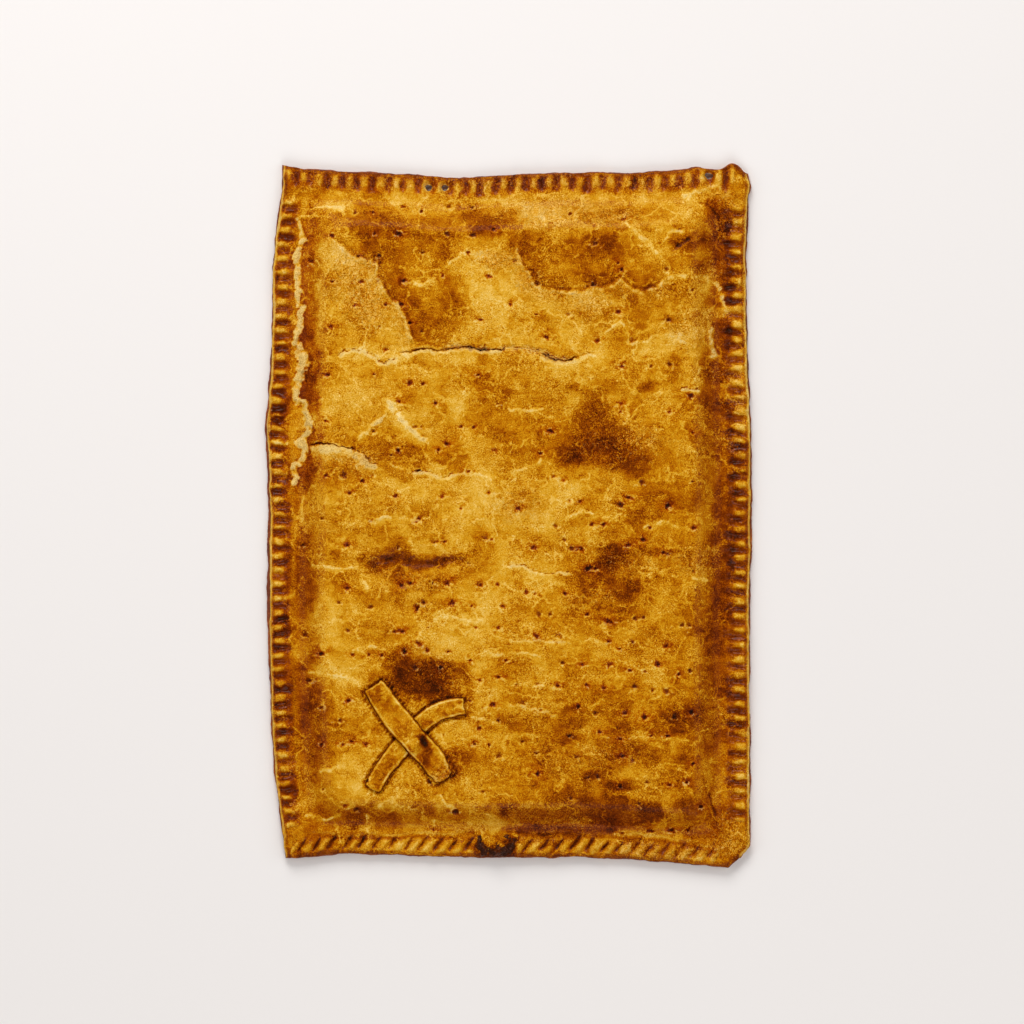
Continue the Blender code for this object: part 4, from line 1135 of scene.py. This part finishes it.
def makeLeak():
    width, depth = leak["size"]
    bm = bmesh.new()
    bmesh.ops.create_grid(
        bm, x_segments=round(width / leak["cell"]), y_segments=round(depth / leak["cell"]),
        size=0.5, matrix=Matrix.Diagonal((width, depth, 1, 1)),
    )
    layer = closeUnder(bm)
    below = np.array([vert[layer] for vert in bm.verts], bool)
    bmesh.ops.recalc_face_normals(bm, faces=bm.faces[:])
    made = makeObject(bm, "burntLeak", 70)
    flat = readSpots(made.data)
    middle = onPie(leak["middle"])[0]
    x, y = flat[:, 0] + middle[0], flat[:, 1] + middle[1]
    warpX, warpY = x + 0.7 * cloud(x, y, 2.4, 110), y + 0.7 * cloud(x, y, 2.4, 111)

    def awayFrom(spotX, spotY, halfX, halfY):  # 1 at the edge of a patch given in reference pixels
        spot = onPie((spotX, spotY))[0]
        half = np.array((halfX, halfY)) * reference["mmPerPixel"]
        return np.hypot((warpX - spot[0]) / half[0], (warpY - spot[1]) / half[1])

    tall = np.zeros(x.shape)
    for *patch, height in leak["lobes"]:
        tall = np.maximum(tall, height * np.sqrt(np.clip(1.15 - awayFrom(*patch) ** 2, 0, 1)))
    ground = lidTop(x, y)
    rough = leak["rough"] * (cloud(x, y, 1.7, 112) + 0.6 * cloud(x, y, 0.8, 113))
    z = ground - leak["sunk"] + tall + rough * smooth(tall)
    spreadX, spreadY = leak["spread"]
    outside = smooth((np.hypot((x - middle[0]) / spreadX, (y - middle[1] + 0.4) / spreadY) - 0.86) / 0.2)
    z = np.where(below, ground - leak["root"], z - 0.5 * outside)
    writeSpots(made.data, x, y, z)
    writeMask(made.data, "height", np.clip(tall / 2.2, 0, 1))
    writeMask(made.data, "golden", smooth(1.5 - awayFrom(*leak["golden"])))
    return made


# materials
def paint(red, green, blue):  # screen colour to the linear values that the nodes take
    shares = (part / 255 for part in (red, green, blue))
    return tuple(s / 12.92 if s <= 0.04 else ((s + 0.055) / 1.055) ** 2.4 for s in shares) + (1,)


class Value:  # a socket that can be used in sums
    def __init__(self, finish, socket):
        self.finish, self.socket = finish, socket

    def join(self, kind, *others):
        return self.finish.node("ShaderNodeMath", {"operation": kind}, dict(enumerate((self, *others))))

    def __add__(self, other):
        return self.join("ADD", other)

    def __sub__(self, other):
        return self.join("SUBTRACT", other)

    def __rsub__(self, other):
        return self.finish.number("SUBTRACT", other, self)

    def __mul__(self, other):
        return self.join("MULTIPLY", other)

    __radd__ = __add__
    __rmul__ = __mul__


class Finish:  # one material and its nodes
    def __init__(self, name, **constants):
        self.material = bpy.data.materials.new(name)
        self.material.use_nodes = True
        self.tree = self.material.node_tree
        self.shader = self.tree.nodes["Principled BSDF"]
        for socket, value in constants.items():
            self.shader.inputs[socket.replace("_", " ")].default_value = value

    def node(self, kind, settings, inputs, output=0):
        made = self.tree.nodes.new(kind)
        for name, value in settings.items():
            if name == "stops":
                self.fillRamp(made.color_ramp, value)
            else:
                setattr(made, name, value)
        for name, value in inputs.items():
            if isinstance(value, Value):
                self.tree.links.new(value.socket, made.inputs[name])
            else:
                made.inputs[name].default_value = value
        return Value(self, made.outputs[output])

    def number(self, kind, first, second):
        return self.node("ShaderNodeMath", {"operation": kind}, {0: first, 1: second})

    def fillRamp(self, ramp, stops):
        while len(ramp.elements) < len(stops):
            ramp.elements.new(0.5)
        for element, (place, colour) in zip(ramp.elements, stops):
            element.position, element.color = place, colour

    def mask(self, name):
        return self.node("ShaderNodeAttribute", {"attribute_name": name}, {}, "Fac")

    def place(self):
        return self.node("ShaderNodeTexCoord", {}, {}, "Object")

    def noise(self, sizeMm, detail=3.0, rough=0.55, distort=0.0, squeeze=None):
        place = self.place()
        if squeeze:
            place = self.node("ShaderNodeVectorMath", {"operation": "MULTIPLY"}, {0: place, 1: squeeze})
        return self.node("ShaderNodeTexNoise", {}, {
            "Vector": place, "Scale": 1000 / sizeMm, "Detail": detail, "Roughness": rough,
            "Distortion": distort}, "Fac")

    def warped(self, sizeMm, byMm):  # the place, pushed about by noise
        push = self.node("ShaderNodeTexNoise", {}, {
            "Vector": self.place(), "Scale": 1000 / sizeMm, "Detail": 2.0}, "Color")
        centred = self.node("ShaderNodeVectorMath", {"operation": "SUBTRACT"}, {0: push, 1: (0.5, 0.5, 0.5)})
        far = {0: centred, "Scale": byMm * 2 * mm}
        scaled = self.node("ShaderNodeVectorMath", {"operation": "SCALE"}, far)
        return self.node("ShaderNodeVectorMath", {"operation": "ADD"}, {0: self.place(), 1: scaled})

    def between(self, value, low, high):  # 0 below low, 1 above high, smooth between
        return self.node("ShaderNodeMapRange", {"interpolation_type": "SMOOTHSTEP"}, {
            "Value": value, "From Min": low, "From Max": high}, "Result")

    def blend(self, share, first, second):
        made = self.tree.nodes.new("ShaderNodeMix")
        made.data_type = "RGBA"
        for name, value in (("Factor_Float", share), ("A_Color", first), ("B_Color", second)):
            socket = next(s for s in made.inputs if s.identifier == name)
            if isinstance(value, Value):
                self.tree.links.new(value.socket, socket)
            else:
                socket.default_value = value
        return Value(self, next(s for s in made.outputs if s.identifier == "Result_Color"))

    def feed(self, socket, value):
        self.tree.links.new(value.socket, self.shader.inputs[socket])

    def tint(self, colour, by):
        return self.node("ShaderNodeVectorMath", {"operation": "MULTIPLY"}, {0: colour, 1: by})

    def thinLines(self, width, *noise):  # winding lines, along the middle values of a noise
        return 1 - self.between((self.noise(*noise) - 0.5).join("ABSOLUTE"), 0.0, width)

    def bump(self, height, strength, distanceMm, under=None):
        inputs = {"Height": height, "Strength": strength, "Distance": distanceMm * mm}
        if under:
            inputs["Normal"] = under
        return self.node("ShaderNodeBump", {}, inputs)


crustTones = (  # from raw dough to burnt
    (0.00, paint(252, 226, 164)), (0.18, paint(244, 205, 112)), (0.30, paint(234, 183, 72)),
    (0.38, paint(224, 165, 38)), (0.44, paint(212, 146, 18)), (0.50, paint(196, 123, 6)),
    (0.56, paint(176, 96, 2)), (0.62, paint(152, 73, 1)), (0.70, paint(119, 47, 1)),
    (0.80, paint(84, 28, 2)), (0.90, paint(52, 16, 3)), (1.00, paint(28, 9, 3)),
)
crustLook = {
    "tone": 0.480,         # where on the scale of crustTones the crust is
    # how far each of these moves the tone
    "blotches": 0.46,      # 40 mm and down
    "mottle": 0.36,        # 8 mm and down
    "brushed": 0.14,       # streaks left by the brush
    "speckle": 0.80,       # 0.6 mm and down
    "rubbedAndHighlight": 0.07,        # raised grains made lighter, where the glaze is thin and as painted highlight
    "stretch": 0.15,       # pale lines where the dough has stretched
    "creases": 0.11,       # fine creases, pale and brown
    "ridges": 0.14,        # thin raised lines
    "crumbs": 0.16,        # pale flakes in the rough spots, partly painted highlight
    "stretchMm": 19,       # size of the stretched patches
    "gloss": 0.04,
    "paleColour": paint(242, 206, 124),
    "paleShade": paint(198, 148, 64),
    "greyDough": paint(196, 152, 84),
    # colour of the painted glints on the crumbs
    "paintedGlint": paint(252, 188, 100),
    "redTint": (1.06, 0.72, 0.5),
    "flakeTint": (1.03, 0.90, 0.72),
}
stripLook = {**crustLook, "tone": 0.50, "blotches": 0.2, "mottle": 0.34, "speckle": 0.44}


def bakedCrust(name, look):
    finish = Finish(
        name, IOR=1.45, Coat_Roughness=0.12, Coat_IOR=1.45, Specular_IOR_Level=0.14,
        Specular_Tint=paint(255, 164, 60),
    )
    bake, pale, grain, wet, red, grey = (finish.mask(mask) for mask in skinMasks)
    blotches, mottle = finish.noise(40, 2, 0.7, 0.7), finish.noise(8, 2, 0.8, 0.6)
    speckle, brushed = finish.noise(0.6, 1, 0.9, 0.2), finish.noise(3, 2, 0.6, 0.6, (0.22, 1.2, 1.0))
    sleek = finish.between(finish.noise(16, 2, 0.6, 0.8), 0.40, 0.60)
    tone = bake + look["tone"]
    tone = tone + (blotches - 0.5) * look["blotches"] + (mottle - 0.5) * look["mottle"]
    tone = tone + (brushed - 0.5) * look["brushed"]
    tone = tone + (speckle - 0.5) * look["speckle"] * (0.5 + sleek * 0.35 + grain * 0.2)
    # grains, lighter on top as painted highlight and darker in their hollows as painted shade, and, where the
    # crust is burnt or flaking, short wrinkles
    crumbs = finish.noise(1.5, 2, 0.75, 1.2)
    raised, sunk = finish.between(crumbs, 0.54, 0.60), 1 - finish.between(crumbs, 0.38, 0.45)
    wrinkles = finish.thinLines(0.020, 2.6, 1, 0.5, 1.6)
    flaking = raised * 0.5 + wrinkles * 0.7
    tone = tone - flaking * grain * look["crumbs"] - raised * sleek * look["rubbedAndHighlight"]
    tone = tone + sunk * (grain * 0.06 + 0.03)
    # paler lines where the dough has stretched
    cells = finish.node("ShaderNodeTexVoronoi", {"feature": "DISTANCE_TO_EDGE"}, {
        "Vector": finish.warped(7, 7), "Scale": 1000 / look["stretchMm"]}, "Distance")
    stretched = (1 - finish.between(cells, 0.0, 0.07)) * finish.between(mottle, 0.44, 0.56)
    tone = tone - stretched * look["stretch"]
    # fine creases, some pale and some brown
    paleCrease, brownCrease = (
        finish.thinLines(0.022, size, 2, 0.6, 0.6)
        * finish.between(finish.noise(size * 1.7, 1, 0.5), 0.48, 0.60)
        for size in (4.5, 6.5)
    )
    tone = tone - paleCrease * look["creases"] + brownCrease * look["creases"]
    tone = tone - finish.between(pale, 0.05, 0.60) * look["ridges"]
    colour = finish.node("ShaderNodeValToRGB", {"stops": crustTones}, {"Fac": tone}, "Color")
    colour = finish.blend(red * finish.between(tone, 0.42, 0.6), colour, finish.tint(colour, look["redTint"]))
    # raw dough in the cracks
    dough = finish.blend(finish.between(crumbs + speckle, 0.80, 1.10), look["paleShade"], look["paleColour"])
    dough = finish.blend(grey * 0.75, dough, look["greyDough"])
    showing = finish.between(pale + (mottle - 0.5) * 0.5 + (speckle - 0.5) * 0.7, 0.42, 0.90)
    colour = finish.blend(showing, colour, dough)
    # warm flakes, and painted glints on the raised tips of their wrinkles
    colour = finish.blend(grain * 0.9, colour, finish.tint(colour, look["flakeTint"]))
    colour = finish.blend(wrinkles * raised * grain * 0.85, colour, look["paintedGlint"])
    finish.feed("Base Color", colour)
    rough = 0.52 + (speckle - 0.5) * 0.4 + showing * 0.25 + grain * 0.10 - wet * 0.18 - bake * 0.2
    finish.feed("Roughness", rough)
    finish.feed("Coat Weight", look["gloss"] * (1 - showing) + wet * 0.18 + grain * 0.03)
    fine = finish.bump(speckle * 0.6 + mottle * 0.8 - cells * 0.25, 0.8, 0.9)
    crumbly = finish.bump(crumbs * (grain * 0.5 + 0.3) + wrinkles * grain * 0.35, 0.9, 1.0, fine)
    finish.feed("Normal", crumbly)
    return finish.material


sheetLook = {
    "tone": 0.68, "blotches": 0.34, "mottle": 0.30, "speckle": 0.24,
    "paleUnder": 0.14,     # the underside is paler
    "flour": paint(226, 190, 132),
    "floury": 0.45,
}


def sheetCrust(name, look):
    finish = Finish(name, IOR=1.45)
    under = finish.mask("under")
    blotches, mottle = finish.noise(26, 4, 0.55, 0.6), finish.noise(6, 4, 0.6, 0.4)
    speckle = finish.noise(1.3, 3, 0.6)
    tone = look["tone"] - under * look["paleUnder"] + (blotches - 0.5) * look["blotches"]
    tone = tone + (mottle - 0.5) * look["mottle"] + (speckle - 0.5) * look["speckle"]
    colour = finish.node("ShaderNodeValToRGB", {"stops": crustTones}, {"Fac": tone}, "Color")
    floury = finish.between(finish.noise(9, 4, 0.65, 0.8), 0.55, 0.75)
    finish.feed("Base Color", finish.blend(floury * under * look["floury"], colour, look["flour"]))
    finish.feed("Roughness", 0.68 + (speckle - 0.5) * 0.2)
    finish.feed("Normal", finish.bump(speckle * 0.5 + mottle, 0.5, 0.6))
    return finish.material


burntTones = (
    (0.00, paint(46, 17, 7)), (0.35, paint(84, 34, 8)),
    (0.70, paint(140, 72, 10)), (1.00, paint(206, 132, 26)),
)


def burntSugar(name):
    finish = Finish(
        name, IOR=1.45, Coat_Roughness=0.14, Specular_IOR_Level=0.2, Specular_Tint=paint(255, 176, 110))
    tall, golden = finish.mask("height"), finish.mask("golden")
    rough, fine = finish.noise(2.2, 3, 0.7, 0.5), finish.noise(0.6, 2, 0.6)
    tone = finish.between(rough, 0.50, 0.64) * 0.4 + (1 - tall) * 0.45 + (fine - 0.5) * 0.3
    tone = tone + golden * (0.35 + finish.between(rough, 0.4, 0.6) * 0.5)
    colour = finish.node("ShaderNodeValToRGB", {"stops": burntTones}, {"Fac": tone}, "Color")
    finish.feed("Base Color", colour)
    finish.feed("Roughness", 0.36 + (fine - 0.5) * 0.4)
    finish.feed("Coat Weight", 0.12 + (rough - 0.5) * 0.5)
    finish.feed("Normal", finish.bump(rough + fine * 0.5, 0.9, 1.0))
    return finish.material


def plainTable(name):
    finish = Finish(name, Roughness=0.75, Specular_IOR_Level=0.25)
    finish.shader.inputs["Base Color"].default_value = paint(238, 233, 230)
    return finish.material


# put together
lid = makeLid()
base = makeSheet()
under = makeStrip("crossStripUnder")
over = makeStrip("crossStripOver", "crossStripUnder")
blob = makeLeak()
crustFinish = bakedCrust("bakedCrust", crustLook)
stripFinish = bakedCrust("bakedStrip", stripLook)
pieces = (
    (lid, "top_crust", crustFinish),
    (base, "bottom_crust", sheetCrust("bakedSheet", sheetLook)),
    (under, "strip_under", stripFinish),
    (over, "strip_over", stripFinish),
    (blob, "leaked_filling", burntSugar("burntFilling")),
)
for piece, node, finish in pieces:
    piece.data.materials.append(finish)
    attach(piece, "root")
    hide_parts(node)
print("pieces dressed")

# table, light and camera
studio = {
    "floorSize": 3.0,
    "distance": 4.0,           # camera above the lid's top, metres
    "lidTop": 0.014,
    "seen": 0.5258,            # width of the picture at the lid, metres
    "aim": (0.00172, 0.00195),
    "sensor": 36.0,
    # soft boxes: name, where, size, power
    "boxes": (
        ("softKey", (-0.25, 1.30, 1.15), 1.0, 23.0),
        ("softFront", (0.3, -1.3, 1.3), 1.2, 14.5),
        ("softLeft", (-1.5, 0.1, 1.2), 1.2, 8.5),
        ("softRight", (1.5, 0.2, 1.2), 1.2, 7.2),
    ),
    "sky": 0.10,
    "skyColour": (1.0, 0.99, 0.98, 1),
}
bm = bmesh.new()
bmesh.ops.create_grid(bm, x_segments=1, y_segments=1, size=studio["floorSize"] / 2)
floor = makeObject(bm, "table")
floor.data.materials.append(plainTable("paleTable"))


def softBox(name, spot, size, power):
    light = bpy.data.lights.new(name, "AREA")
    light.shape, light.size, light.energy = "SQUARE", size, power
    made = bpy.data.objects.new(name, light)
    made.location = spot
    made.rotation_euler = (Vector((0, 0, 0)) - Vector(spot)).to_track_quat("-Z", "Y").to_euler()
    bpy.context.scene.collection.objects.link(made)


for boxName, spot, size, power in studio["boxes"]:
    softBox(boxName, spot, size, power)
world = bpy.data.worlds.new("paleRoom")
world.use_nodes = True
sky = world.node_tree.nodes["Background"]
sky.inputs["Color"].default_value = studio["skyColour"]
sky.inputs["Strength"].default_value = studio["sky"]
bpy.context.scene.world = world
bpy.context.scene.view_settings.view_transform = "Standard"

lens = bpy.data.cameras.new("camera")
lens.sensor_width, lens.sensor_height, lens.sensor_fit = studio["sensor"], studio["sensor"], "HORIZONTAL"
lens.lens = studio["sensor"] * studio["distance"] / studio["seen"]
camera = bpy.data.objects.new("camera", lens)
camera.location = (*studio["aim"], studio["distance"] + studio["lidTop"])
bpy.context.scene.collection.objects.link(camera)
bpy.context.scene.camera = camera
print("table, light and camera set")
